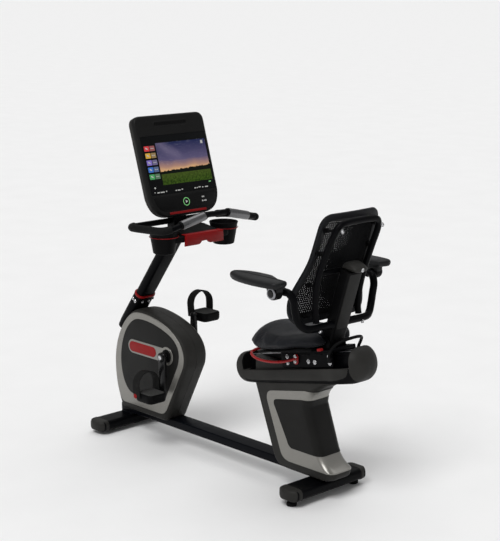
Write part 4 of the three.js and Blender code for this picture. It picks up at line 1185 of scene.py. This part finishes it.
def release_and_lever():
    """The red loop that frees the slide, and the black hoop that frees the backrest."""
    left = [(-84, -78, 556), (-126, -104, 541), (-180, -124, 534), (-240, -130, 534), (-284, -122, 543),
            (-298, -96, 553)]
    path = mirrored(left, (-300, 0, 558))
    parts = [tube(path, 5.6, 90, 18)]
    for side in (-1, 1):
        tab = rounded_box(-97, 532, -72, 574, 11, 8)
        parts.append(slab_between(tab, side, 71.0, 75.5, 1.2))
        parts.append(lathe([(9, 0), (9, 4), (7.5, 5)], (-84, side * 75, 556), (0, side, 0), 24))
    piece("release_loop", parts, RED_PAINT, "release", ["release_bar"])
    heads = [bolt(-84, side * 79, z, (0, side, 0), 5.0, 4.0) for z in (545, 565) for side in (-1, 1)]
    piece("release_bolts", heads, CHROME, "release")
    left = [(97, -78, 588), (104, -82, 618), (124, -74, 650), (144, -46, 668)]
    path = mirrored(left, (152, 0, 674))
    hoop = [tube(path, 6.2, 80, 18)]
    for side in (-1, 1):
        boss = [(11.5, 0), (12, 1), (12, 9), (10.5, 11)]
        hoop.append(lathe(boss, (97, side * 70.5, 588), (0, side, 0), 28))
    piece("lever_hoop", hoop, BLACK, "lever", ["recline_lever"])


# ---------------------------------------------------------------- backrest
WEB_LINE = [(142, 1160), (121, 1095), (88, 998), (52, 910), (24, 835), (14, 780), (18, 726)]


def web_depth(z):
    """X of the back's surface at a height, on the line that its side view follows."""
    line = spline([(x, 0, h) for x, h in WEB_LINE], 120)
    return np.interp(z, line[::-1, 2], line[::-1, 0])


def wrap(y, z):
    """How far the back's edges curl forward."""
    return -16.0 * np.clip(np.abs(y) / 200.0, 0, 1) ** 2 * np.clip((z - 700) / 120, 0, 1)


def on_web(y, z, off=0.0):
    y, z = np.asarray(y, float), np.asarray(z, float)
    return np.column_stack((web_depth(z) + wrap(y, z) + off, y, z))


def pear_outline():
    o = Outline(-150, 724).curve((-214, 732), (-208, 800)).curve((-204, 880), (-166, 920), (-163, 1000))
    o.line(-160, 1110).curve((-156, 1158), (-110, 1160)).line(110, 1160).curve((156, 1158), (160, 1110))
    o.line(163, 1000).curve((166, 920), (204, 880), (208, 800)).curve((214, 732), (150, 724))
    return resampled(o.closed(), 9.0)


def back_rim():
    """The web's frame: a flat padded rim around the pear outline, with a thin welt on its edge."""
    ring = inset(pear_outline(), 13.0)
    path = on_web(ring[:, 0], ring[:, 1])
    middle = path.mean(0)
    section = rounded_box(-13.0, -6.0, 13.0, 6.0, 5.6, 6)
    rim = edge_sweep(path, middle, section)
    piece("back_rim", [rim], RIM, "backrest", ["back_mesh"])
    outer = inset(pear_outline(), 0.6)
    welt = edge_sweep(on_web(outer[:, 0], outer[:, 1], -4.5), middle, disc(2.0, 12))
    inner = inset(pear_outline(), 26.0)
    bead = edge_sweep(on_web(inner[:, 0], inner[:, 1], 3.5), middle, disc(1.5, 10))
    piece("back_rim_welts", [welt, bead], STRAP, "backrest")


def edge_sweep(path, middle, section):
    """A section around a closed path. Its first axis points in the surface, away from the middle."""
    ahead = np.roll(path, -1, 0) - np.roll(path, 1, 0)
    ahead /= np.linalg.norm(ahead, axis=1, keepdims=True)
    rings = []
    for i, point in enumerate(path):
        out = np.cross(ahead[i], (1.0, 0.0, 0.0))
        out /= np.linalg.norm(out)
        if out @ (point - middle) < 0:
            out = -out
        over = np.cross(ahead[i], out)
        rings.append(point + section[:, :1] * out + section[:, 1:] * over)
    rings.append(rings[0].copy())
    return loft(rings, caps=False)


def inside(ring, y, z):
    """Whether each point lies within a closed outline."""
    hit = np.zeros(len(y), bool)
    a, b = ring, np.roll(ring, -1, 0)
    for (y0, z0), (y1, z1) in zip(a, b):
        crosses = (z0 > z) != (z1 > z)
        with np.errstate(divide="ignore", invalid="ignore"):
            hit ^= crosses & (y < (y1 - y0) * (z - z0) / (z1 - z0) + y0)
    return hit


def back_web():
    """A moulded diamond web: two families of slanting strands, thicker at the foot, that cross over."""
    ring = inset(pear_outline(), 18.0)
    strands = []
    pitch, steep = 10.0, 1.7
    for family in (-1, 1):
        for k in range(-60, 61):
            z = np.arange(716.0, 1170.0, 4.0)
            y = k * pitch + family * (z - 943.0) / steep
            keep = inside(ring, y, z)
            runs = np.flatnonzero(np.diff(np.r_[0, keep.astype(int), 0]))
            for a, b in zip(runs[::2], runs[1::2]):
                if b - a < 3:
                    continue
                line = on_web(y[a:b], z[a:b], 1.1 * family)
                width = np.interp(z[a:b], (720, 860, 1160), (1.2, 1.0, 0.95))
                section = np.array([(-2.2, -1.35), (2.2, -1.35), (2.2, 1.35), (-2.2, 1.35)])
                strands.append(sweep(line, section, width, up=(1, 0, 0)))
    piece("back_web", strands, MESH, "backrest", sharp=60)
    ring = inset(pear_outline(), 16.0)
    low = [p for p in ring if p[1] < 775]
    y0 = max(p[0] for p in low) - 6
    apron = rounded_box(-y0 + 12, 733, y0 - 12, 768, 10, 6)
    front = on_web(apron[:, 0], apron[:, 1], -1.6)
    rear = on_web(apron[:, 0], apron[:, 1], 2.2)
    piece("back_web_foot", [loft([front, rear])], MESH, "backrest")


def back_tube():
    """One tube bent into a tall loop behind the web, with a rail across it and brackets to the rim."""
    left = [(66, -119, 733), (62, -119, 770), (66, -124, 840), (85, -129, 920), (122, -126, 1010),
            (154, -122, 1082), (167, -108, 1116), (172, -78, 1128)]
    path = mirrored(left, (172, 0, 1130))
    parts = [tube(path, 13.0, 150, 24)]
    parts.append(tube([(91, -124, 930), (91, 124, 930)], 10.0, 4, 20))
    piece("back_loop", parts, FRAME, "backrest", ["back_frame"])
    brackets, heads = [], []
    for side in (-1, 1):
        for z, y, x in ((1100, 122, 160), (1010, 126, 122), (880, 126, 74), (760, 119, 62)):
            front = float(web_depth(z)) - 2
            pad = rounded_box(y - 2, z - 9, y + 26, z + 9, 5, 4) * (side, 1)
            if side < 0:
                pad = pad[::-1]
            levels = [PLANES["face"](pad, front + 3), PLANES["face"](pad, front + 9)]
            brackets.append(loft(levels))
            brackets.append(tube([(front + 5, side * (y + 8), z), (x, side * (y + 1), z)], 5.5, 4, 12))
        heads.append(bolt(187, side * 111, 1101, (1, 0, 0.25), 6.0, 5.0))
        heads.append(bolt(88, side * 119, 704, (0.9, 0, -0.4), 6.0, 5.0))
    piece("back_brackets", brackets, BLACK, "backrest")
    piece("back_bolts", heads, CHROME, "backrest")


def column():
    """The wide post that carries the back, with a moulded cover behind it and a hood over its top."""
    lean = tilted(PIVOT[0], PIVOT[1], -COLUMN["lean"])
    length = (COLUMN["top"] - PIVOT[1]) / math.cos(math.radians(COLUMN["lean"]))
    half, deep = COLUMN["half"], COLUMN["depth"] / 2
    rings = []
    sizes = [(-24, 30, 14), (-20, 38, 21), (-8, half, deep), (length - 2, half, deep), (length, 38, deep - 2)]
    for h, w, d in sizes:
        rings.append(PLANES["top"](rounded_box(-d, -w, d, w, min(9.0, d - 1), 6), h))
    piece("column_post", [moved(loft(rings), lean)], BLACK, "backrest", ["back_column"])
    cover = rounded_box(62, -33, length - 6, 33, 8, 6)[::-1, ::-1]
    face = plate(cover, one_sided_levels(deep - 3, deep + 2.4, 2.2), "face")
    piece("column_cover", [moved(face, lean)], PANEL, "backrest")
    o = Outline(112, COLUMN["top"] + 0.5).line(182, COLUMN["top"] - 5).curve((194, 934), (190, 948), steps=8)
    o.curve((152, 982), (118, 962), steps=14).curve((108, 954), (112, COLUMN["top"] + 0.5), steps=8)
    hood = plate(resampled(o.closed(), 4.0), crowned_levels(36, 13.0, 24.0, 8))
    piece("hood_shell", [hood], CHARCOAL, "backrest", ["column_hood"])
    piece("hood_bolt", [bolt(190, 0, 941, (1, 0, -0.1), 5.5, 4.5)], CHROME, "backrest")


def arm_tube():
    left = [(ARM_HUB[0] + 4, -242, ARM_HUB[1]), (34, -234, 862), (50, -225, 834), (50, -218, 795),
            (52, -208, 757), (62, -186, 727), (CROSS[0], -150, CROSS[1]), (CROSS[0], -60, CROSS[1])]
    path = mirrored(left)
    parts = [tube(path, 15.0, 170, 24)]
    for side in (-1, 1):
        end = [(9, 0), (13, 2), (15, 6), (15, 22), (13.5, 25), (9, 26), (9, 60)]
        parts.append(lathe(end, (ARM_HUB[0] + 2, side * 226, ARM_HUB[1]), (0, side, 0), 32))
    piece("arm_bar", parts, FRAME, "backrest", ["arm_tube"])


def armrest(name, side):
    """A leaf-shaped pad with a crowned top on a turned barrel with a chrome disc."""
    def out(distance):
        return ARM_PAD["y"] + distance

    o = Outline(-238, out(-15))
    o.curve((-236, out(30)), (-160, out(58)), (-60, out(60)), steps=24)
    o.curve((10, out(60)), (40, out(50))).curve((62, out(40)), (58, out(16))).line(46, out(-24))
    o.line(-2, out(-30)).line(-62, out(-60))
    o.curve((-130, out(-68)), (-215, out(-60)), (-238, out(-15)), steps=24)
    ring = resampled(o.closed(), 7.0)
    low, high = ARM_PAD["low"], ARM_PAD["high"]
    levels = [(12.0, low), (6.0, low + 1.5), (2.0, low + 6), (0.3, low + 11), (0.0, low + 15)]
    levels += [(1.0, high - 8), (4.0, high - 4), (9.0, high - 1.8), (15.0, high - 0.7), (22.0, high - 0.1)]
    pad = plate(ring, levels, "top")
    pad = pad if side > 0 else flipped(pad)
    seat = block((-26, 262, low - 20), (34, 296, low + 4), 5.0)
    seat = seat if side > 0 else flipped(seat)
    made = new_object(f"armrest_pad_{name}", [pad, seat])
    finish_piece(made, ARM_SKIN, f"arm_{name}", [f"armrest_{name}"])
    hub = [(17, 0), (24, 1), (26, 3.5), (26, 30), (25, 34), (22, 36.5)]
    barrel = lathe(hub, (ARM_HUB[0], side * 262, ARM_HUB[1]), (0, side, 0), 40)
    piece(f"armrest_barrel_{name}", [barrel], BLACK, f"arm_{name}")
    cap = [(22.5, 0), (23, 2), (21.5, 4.2), (16, 5.6), (9, 6), (8, 4.6), (6, 4.4), (5.5, 6.4), (2, 6.8)]
    hub_face = (ARM_HUB[0], side * 298, ARM_HUB[1])
    plug = lathe(cap, hub_face, (0, side, 0), 44)
    piece(f"armrest_disc_{name}", [plug], STEEL, f"arm_{name}")
    inlay = lathe([(15.5, 5.0), (15.5, 6.0), (14.5, 6.9), (9.5, 7.4)], hub_face, (0, side, 0), 44)
    piece(f"armrest_inlay_{name}", [inlay], GLOSS, f"arm_{name}")


# ---------------------------------------------------------------- console
SCREEN = {"half": 178.0, "low": 98.0, "high": 347.0}


def console_outline(shrink=0.0):
    w = CONSOLE["half"] - shrink
    low, high = shrink, CONSOLE["height"] - shrink
    foot, head = 92 - shrink, 40 - shrink / 2
    o = Outline(-w + foot, low).line(w - foot, low).curve((w - 12, low + 6), (w - 2, low + foot))
    o.line(w, high - head).curve((w, high), (w - head, high)).line(-w + head, high)
    o.curve((-w, high), (-w, high - head)).line(-w + 2, low + foot)
    return resampled(o.curve((-w + 12, low + 6), (-w + foot, low)).closed(), 9.0)


def face_piece(name, ring, levels, material, nodes=(), body="frame"):
    return piece(name, [moved(plate(ring, levels, "face"), ON_CONSOLE)], material, body, nodes)


def console():
    outline = console_outline()
    front = [(1.0, -23), (0.0, -20), (0.0, -12), (1.2, -6), (3.6, -2.4), (7.0, -0.6), (11.0, 0.0)]
    shell = new_object("console_shell", [plate(outline, front, "face")])
    wide, low, high = SCREEN["half"], SCREEN["low"], SCREEN["high"]
    glass_hole = rounded_box(-wide - 1, low - 1, wide + 1, high + 1, 5, 4)
    well = plate(disc(16.2, 40) + (0, 55), [(0, -10), (0, 20)], "face")
    slot_cutters = []
    for i in range(20):
        y = -84 + i * 168 / 19
        hole = rounded_box(y - 2.7, 389, y + 2.7, 405, 2.4, 4)
        slot_cutters.append(plate(hole, [(0, -7), (0, 20)], "face"))
    cutters = [new_object("cut_screen", [plate(glass_hole, [(0, -7), (0, 20)], "face")]),
               new_object("cut_button", [well]), new_object("cut_slots", slot_cutters)]
    carve(shell, cutters)
    shade_by_angle(shell)
    place_object(shell, ON_CONSOLE)
    finish_piece(shell, BEZEL, "frame", ["console_front"])
    back = [(44, -67.5), (34, -67), (26, -64), (21, -58), (17, -50), (12, -45.5), (6, -43.5), (2.4, -39),
            (1.4, -33), (1.2, -23.4)]
    face_piece("console_rear_shell", console_outline(), back, CHARCOAL, ["console_back"])
    vents = []
    for i in range(9):
        z = 210 + i * 14
        vents.append(plate(rounded_box(-60, z, 60, z + 6, 2.8, 4), [(0, -69.6), (0.6, -67)], "face"))
    piece("console_vents", moved_all(vents, ON_CONSOLE), BLACK, "frame")
    glass = rounded_box(-wide, low, wide, high, 4, 4)
    face_piece("screen_cover", glass, rounded_levels(-6, -0.8, 0.8, 3), SCREEN_BLACK,
               ["screen_glass"])
    screen_picture()
    control_panel()
    speaker = rounded_box(-92, 386, 92, 408, 9, 6)
    # A dark plate behind the speaker slots, seen only through them: painted shade for the dark inside of the
    # slots.
    cloth = inset(speaker, 1.5)
    face_piece("speaker_slot_shade", cloth, [(0, -5.5), (0, -3.2)], KEYPAD)
    lip = [(1.6, -0.4), (0.6, 0.6), (-0.8, 0.7), (-1.8, -0.2)]
    frame_ring = loft([PLANES["face"](inset(speaker, d), h) for d, h in lip], caps=False)
    piece("speaker_rim", [moved(frame_ring, ON_CONSOLE)], BEZEL, "frame")
    bracket = block((-905, -35, 946), (-852, 35, 1128), 5.0)
    piece("console_neck", [bracket], FRAME, "frame", ["console_bracket"])


PICTURE = {"left": -104.0, "right": 172.0, "low": 136.0, "high": 316.0}
TILE_TOP, TILE_PITCH = 296.0, 30.0
TILES = ((0.60, 0.05, 0.06), (0.62, 0.36, 0.05), (0.22, 0.16, 0.50), (0.05, 0.16, 0.50), (0.07, 0.33, 0.11))


def flat_mark(ring, low=-1.0, high=-0.2):
    return plate(ring, [(0, low), (0, high)], "face")


def screen_picture():
    """The display: a night landscape, a column of coloured tiles, a status strip and small plain marks."""
    p = PICTURE
    ring = rounded_box(p["left"], p["low"], p["right"], p["high"], 1.0, 2)
    face_piece("screen_view", ring, [(0, -1.6), (0, -0.45)],
               night_sky(p["low"], p["high"], p["left"], p["right"]))
    for i, colour in enumerate(TILES):
        z = TILE_TOP - i * TILE_PITCH
        tile = glow(f"tile_{i}", colour, 0.75)
        light = glow(f"tile_light_{i}", tuple(0.35 * c + 0.08 for c in colour), 0.7)
        for kind, y0, y1, lit in (("tile", -168, -141, tile), ("label", -138, -112, light)):
            box = rounded_box(y0, z - 11, y1, z + 11, 2, 3)
            face_piece(f"screen_{kind}_{i}", box, [(0, -1.6), (0, -0.4)], lit)
    marks = []
    for i in range(len(TILES)):
        z = TILE_TOP - i * TILE_PITCH
        marks.append(flat_mark(around_two((-158, z + 2), (-151, z - 2), 3.2, 2.2, 8)))
        for k in range(2):
            marks.append(flat_mark(rounded_box(-133 + k * 9, z - 1.5, -126 + k * 9, z + 1.5, 1, 2)))
    marks.append(flat_mark(rounded_box(146, 296, 158, 310, 2, 3)))
    marks.append(flat_mark(disc(4, 16) + (-152, 128)))
    strip = [(-160, 4), (-146, 14), (-128, 22), (-98, 6), (-46, 8), (-34, 16)]
    strip += [(-12, 8), (60, 10), (74, 5), (84, 12), (104, 7), (120, 18)]
    for i, (y, w) in enumerate(strip):
        z = 107 + (2 if i % 3 == 0 else 0)
        marks.append(flat_mark(rounded_box(y, z - 2, y + w, z + 2.4, 1.2, 2)))
    piece("screen_marks", moved_all(marks, ON_CONSOLE), MARK, "frame")
    lit = [flat_mark(rounded_box(148, 126, 160, 130, 1.5, 2))]
    piece("screen_level", moved_all(lit, ON_CONSOLE), GREEN_GLOW, "frame")


def control_panel():
    """The dark keypad under the display: a start key in a lit green ring, dividers, marks and a red bar."""
    w = CONSOLE["half"] - 18
    o = Outline(-w + 66, 22).line(w - 66, 22).curve((w - 12, 24), (w - 4, 88))
    o.line(-w + 4, 88).curve((-w + 12, 24), (-w + 66, 22))
    skin = plate(resampled(o.closed(), 7.0), [(0, -2), (0, 0.5), (0.8, 1.0)], "face")
    pad = new_object("console_keypad", [skin])
    carve(pad, [new_object("cut_key", [plate(disc(16.2, 40) + (0, 55), [(0, -10), (0, 20)], "face")])])
    shade_by_angle(pad)
    place_object(pad, ON_CONSOLE)
    finish_piece(pad, KEYPAD, "frame")
    profile = [(14.9, -3), (16.4, -3), (17.8, 0.9), (17.4, 1.9), (16.2, 2.1), (14.9, 1.2)]
    ring = lathe(profile, (0, 0, 55), (1, 0, 0), 48)
    piece("start_ring", [moved((ring[0], ring[1][:-2]), ON_CONSOLE)], GREEN_GLOW, "frame")
    key = [(14.2, -8), (14.6, -6), (14.6, 1.6), (13.6, 2.5), (9, 2.9), (3, 3.0)]
    turned = lathe(key, (0, 0, 55), (1, 0, 0), 44)
    piece("start_key", [moved(turned, ON_CONSOLE)], KEYPAD, "button", ["start_button"])
    arrow = Outline(-5.5, 48).line(7.5, 55).line(-5.5, 62).closed()
    piece("start_mark", [moved(plate(arrow, [(0, 2.4), (0.6, 3.5)], "face"), ON_CONSOLE)], MARK, "button")
    marks = []
    for y, z, r in ((92, 66, 3.2), (100, 66, 3.2), (90, 49, 3.6), (100, 49, 2.6), (108, 49, 3.6)):
        marks.append(flat_mark(disc(r, 16) + (y, z), 0.4, 1.4))
    piece("keypad_marks", moved_all(marks, ON_CONSOLE), MARK, "frame")
    lines = [flat_mark(rounded_box(y - 0.5, 30, y + 0.5, 82, 0.4, 2), 0.4, 1.25) for y in (-52, 52)]
    piece("keypad_dividers", moved_all(lines, ON_CONSOLE), BEZEL, "frame")
    bar = rounded_box(-102, 8, 102, 18, 3, 4)
    face_piece("console_red_bar", bar, [(0, -4), (0, 2.2), (1, 3.2)], RED)


def shade_by_angle(made, limit=35.0):
    """Marks the edges that turn more than the limit as sharp."""
    bm = bmesh.new()
    bm.from_mesh(made.data)
    for f in bm.faces:
        f.smooth = True
    for e in bm.edges:
        e.smooth = len(e.link_faces) == 2 and e.calc_face_angle(0) < math.radians(limit)
    bm.to_mesh(made.data)
    bm.free()


# ---------------------------------------------------------------- tray and handlebar
CUP = {"x": -766.0, "y": 168.0, "top": 986.0, "low": 890.0, "outer": 62.0, "foot": 46.0, "wall": 4.0}
TRAY = {"low": 936.0, "high": 962.0, "front": -842.0, "rear": -706.0, "half": 150.0}


def accessory_tray():
    """Two tapered cups with rolled rims on a deck whose middle slopes down to the red lip."""
    c, t = CUP, TRAY
    deck = plate(rounded_box(t["front"], -t["half"], t["rear"], t["half"], 20, 6),
                 rounded_levels(t["low"], t["high"], 5.0), "top")
    ledge = Outline(t["front"], t["high"] - 4).line(t["rear"], t["high"] - 4).line(t["rear"], t["high"] + 3)
    ledge.line(t["front"] + 30, t["high"] + 20).line(t["front"], t["high"] + 20)
    wedge = plate(resampled(ledge.closed(), 6.0), rounded_levels(-100, 100, 4.0))
    arm = block((t["front"] - 2, -60, t["low"]), (t["front"] + 8, 60, 975), 2.0)
    cup_profile = [(c["foot"] - 6, c["low"]), (c["foot"], c["low"] + 3), (c["outer"] - 1.5, c["top"] - 8),
                   (c["outer"], c["top"] - 6), (c["outer"], c["top"])]
    foot, outer, floor = c["foot"] - c["wall"], c["outer"] - c["wall"], c["low"] + c["wall"]
    hole = [(foot - 5, floor), (foot, floor + 6), (outer - 1, c["top"] + 1), (outer, c["top"] + 30)]
    places = [(c["x"], side * c["y"], 0.0) for side in (-1, 1)]
    cups = [lathe(cup_profile, at, (0, 0, 1), 48) for at in places]
    body = moulded(new_object("tray_shell", [deck, wedge, arm, *cups]), 2.0, 2)
    carve(body, [new_object(f"cut_cup_{i}", [lathe(hole, at, (0, 0, 1), 48)]) for i, at in enumerate(places)])
    moulded(body, 1.8, 4)
    finish_piece(body, BLACK, "frame", ["accessory_tray"])
    rims, lines = [], []
    for side in (-1, 1):
        turn = np.radians(np.arange(0, 360, 6.0))
        hoops = [(c["outer"] - 1.8, c["top"] - 0.6, rims, 2.4), (c["outer"] - 0.5, 962, lines, 1.6)]
        for radius, z, part, size in hoops:
            circle = np.column_stack((c["x"] + radius * np.cos(turn), side * c["y"] + radius * np.sin(turn),
                                      np.full(len(turn), z)))
            part.append(sweep(circle, disc(size, 12), closed=True))
    piece("cup_rims", rims, BLACK, "frame")
    piece("cup_pinstripes", lines, RED, "frame")
    lip = Outline(-107, 920).line(-34, 920).curve((-22, 922), (-16, 933), steps=6).line(16, 933)
    lip.curve((22, 922), (34, 920), steps=6).line(107, 920).line(104, 967).line(-104, 967)
    x0 = t["rear"] - 1
    levels = [PLANES["face"](inset(resampled(lip.closed(), 5.0), d), x0 + h)
              for d, h in ((0, 0), (0, 7), (0.7, 9), (2.4, 10))]
    piece("tray_lip_face", [loft(levels)], RED, "frame", ["tray_lip"])
    top = block((t["rear"] - 24, -104, t["high"] + 2.5), (t["rear"] + 8, 104, t["high"] + 6), 1.6)
    piece("tray_lip_top", [top], RED, "frame")


BAR_LEFT = [(-628, 0, 1056), (-629, -60, 1055), (-636, -190, 1025), (-644, -236, 1014), (-676, -262, 1007),
            (-740, -266, 1004), (-840, -266, 1000), (-876, -246, 998), (-884, -205, 998), (-884, -100, 998)]


def handlebar():
    """A closed ring of tube around the tray, with foam side arms and two pulse grips at its rear."""
    core = BAR_LEFT + [(-884, 0, 998)] + [(x, -y, z) for x, y, z in reversed(BAR_LEFT[1:])]
    ring = spline(core + core[:1], 220)[:-1]
    bar = sweep(ring, disc(12.6, 20), closed=True)
    piece("bar_tube", [bar], FRAME, "frame", ["handlebar"])
    for name, side in SIDES:
        points = [(x, side * abs(y), z) for x, y, z in BAR_LEFT]
        path = spline(points, 160)
        length = np.r_[0, np.cumsum(np.linalg.norm(np.diff(path, axis=0), axis=1))]
        first = int(np.argmax(np.abs(path[:, 1]) > 228))
        sleeve = path[first : np.searchsorted(length, length[-1] * 0.80)]
        fade = np.minimum(np.arange(len(sleeve)), np.arange(len(sleeve))[::-1])
        scale = np.interp(fade, (0, 1, 2), (0.9, 0.985, 1.0))
        piece(f"grip_foam_{name}", [sweep(sleeve, disc(16.6, 24), scale)], FOAM, "frame")
        a, b = np.array(points[1], float), np.array(points[2], float)
        sensor_profile = [(15.5, 0), (18.3, 1.2), (19.0, 4), (19.0, 118), (18.3, 121), (15.5, 122)]
        sensor = lathe(sensor_profile, a + (b - a) * 0.04, b - a, 40)
        piece(f"grip_sensor_{name}", [sensor], GRIP, "frame", [f"sensor_grip_{name}"])
        collars = []
        for s, sign in ((0.05, -1), (0.95, 1)):
            profile = [(13.5, -9), (16.5, -8), (17.8, -4), (17.8, 1), (16, 2)]
            collars.append(lathe([(r, sign * -h) for r, h in profile], a + (b - a) * s, (b - a) * 1.0, 32))
        piece(f"grip_collars_{name}", collars, BLACK, "frame")


# ---------------------------------------------------------------- stage, lights and camera
CAMERA_AT = (4.0643, -3.774, 2.010)
CAMERA_TURN = (46.45, 12.0)  # degrees from +Y towards -X, and down
CAMERA_LENS = 91.27


def stage():
    """A wide plain pale floor and a pale surround. Colours are shown as they are, with no film curve."""
    n = Nodes("studio_floor")
    n.set(Base_Color=n.spread(n.noise(3.0), 0.86, 0.88), Roughness=0.8, Specular_IOR_Level=0.1)
    data = bpy.data.meshes.new("floor")
    edge = 260.0  # metres, so that no view shows where the floor ends
    corners = [(-edge, -edge, 0), (edge, -edge, 0), (edge, edge, 0), (-edge, edge, 0)]
    data.from_pydata(corners, [], [(0, 1, 2, 3)])
    floor = bpy.data.objects.new("studio_floor", data)
    floor.data.materials.append(n.material)
    bpy.context.scene.collection.objects.link(floor)
    bpy.context.scene.view_settings.view_transform = "Standard"
    world = bpy.data.worlds.new("studio")
    bpy.context.scene.world = world
    world.use_nodes = True
    sky = world.node_tree.nodes["Background"].inputs
    sky["Color"].default_value = (1.0, 1.0, 1.0, 1.0)
    sky["Strength"].default_value = 0.36


def soft_sun(name, toward, strength, spread):
    """An even light from one direction, as wide as a large soft panel."""
    lamp = bpy.data.lights.new(name, "SUN")
    lamp.energy = strength
    lamp.angle = math.radians(spread)
    made = bpy.data.objects.new(name, lamp)
    made.rotation_euler = Vector(toward).to_track_quat("Z", "Y").to_euler()
    bpy.context.scene.collection.objects.link(made)


def camera():
    turn, down = (math.radians(a) for a in CAMERA_TURN)
    forward = Vector((-math.sin(turn) * math.cos(down), math.cos(turn) * math.cos(down), -math.sin(down)))
    data = bpy.data.cameras.new("camera")
    data.lens = CAMERA_LENS
    data.sensor_width = 36.0
    made = bpy.data.objects.new("camera", data)
    made.location = CAMERA_AT
    made.rotation_euler = forward.to_track_quat("-Z", "Y").to_euler()
    bpy.context.scene.collection.objects.link(made)
    bpy.context.scene.camera = made


def build():
    camera()
    floor_frame()
    for name, side in SIDES:
        housing_side(name, side)
        crank_side(name, side)
        pedal_side(name, side)
        armrest(name, side)
    inner_drive()
    mast_parts()
    pedestal()
    beam_cover()
    seat_rail()
    carriage()
    seat_cushion()
    release_and_lever()
    back_rim()
    back_web()
    back_tube()
    column()
    arm_tube()
    console()
    accessory_tray()
    handlebar()
    stage()
    soft_sun("key", (0.7, -2.2, 3.2), 1.75, 30)
    soft_sun("top", (-0.6, 1.0, 3.0), 0.75, 50)


build()
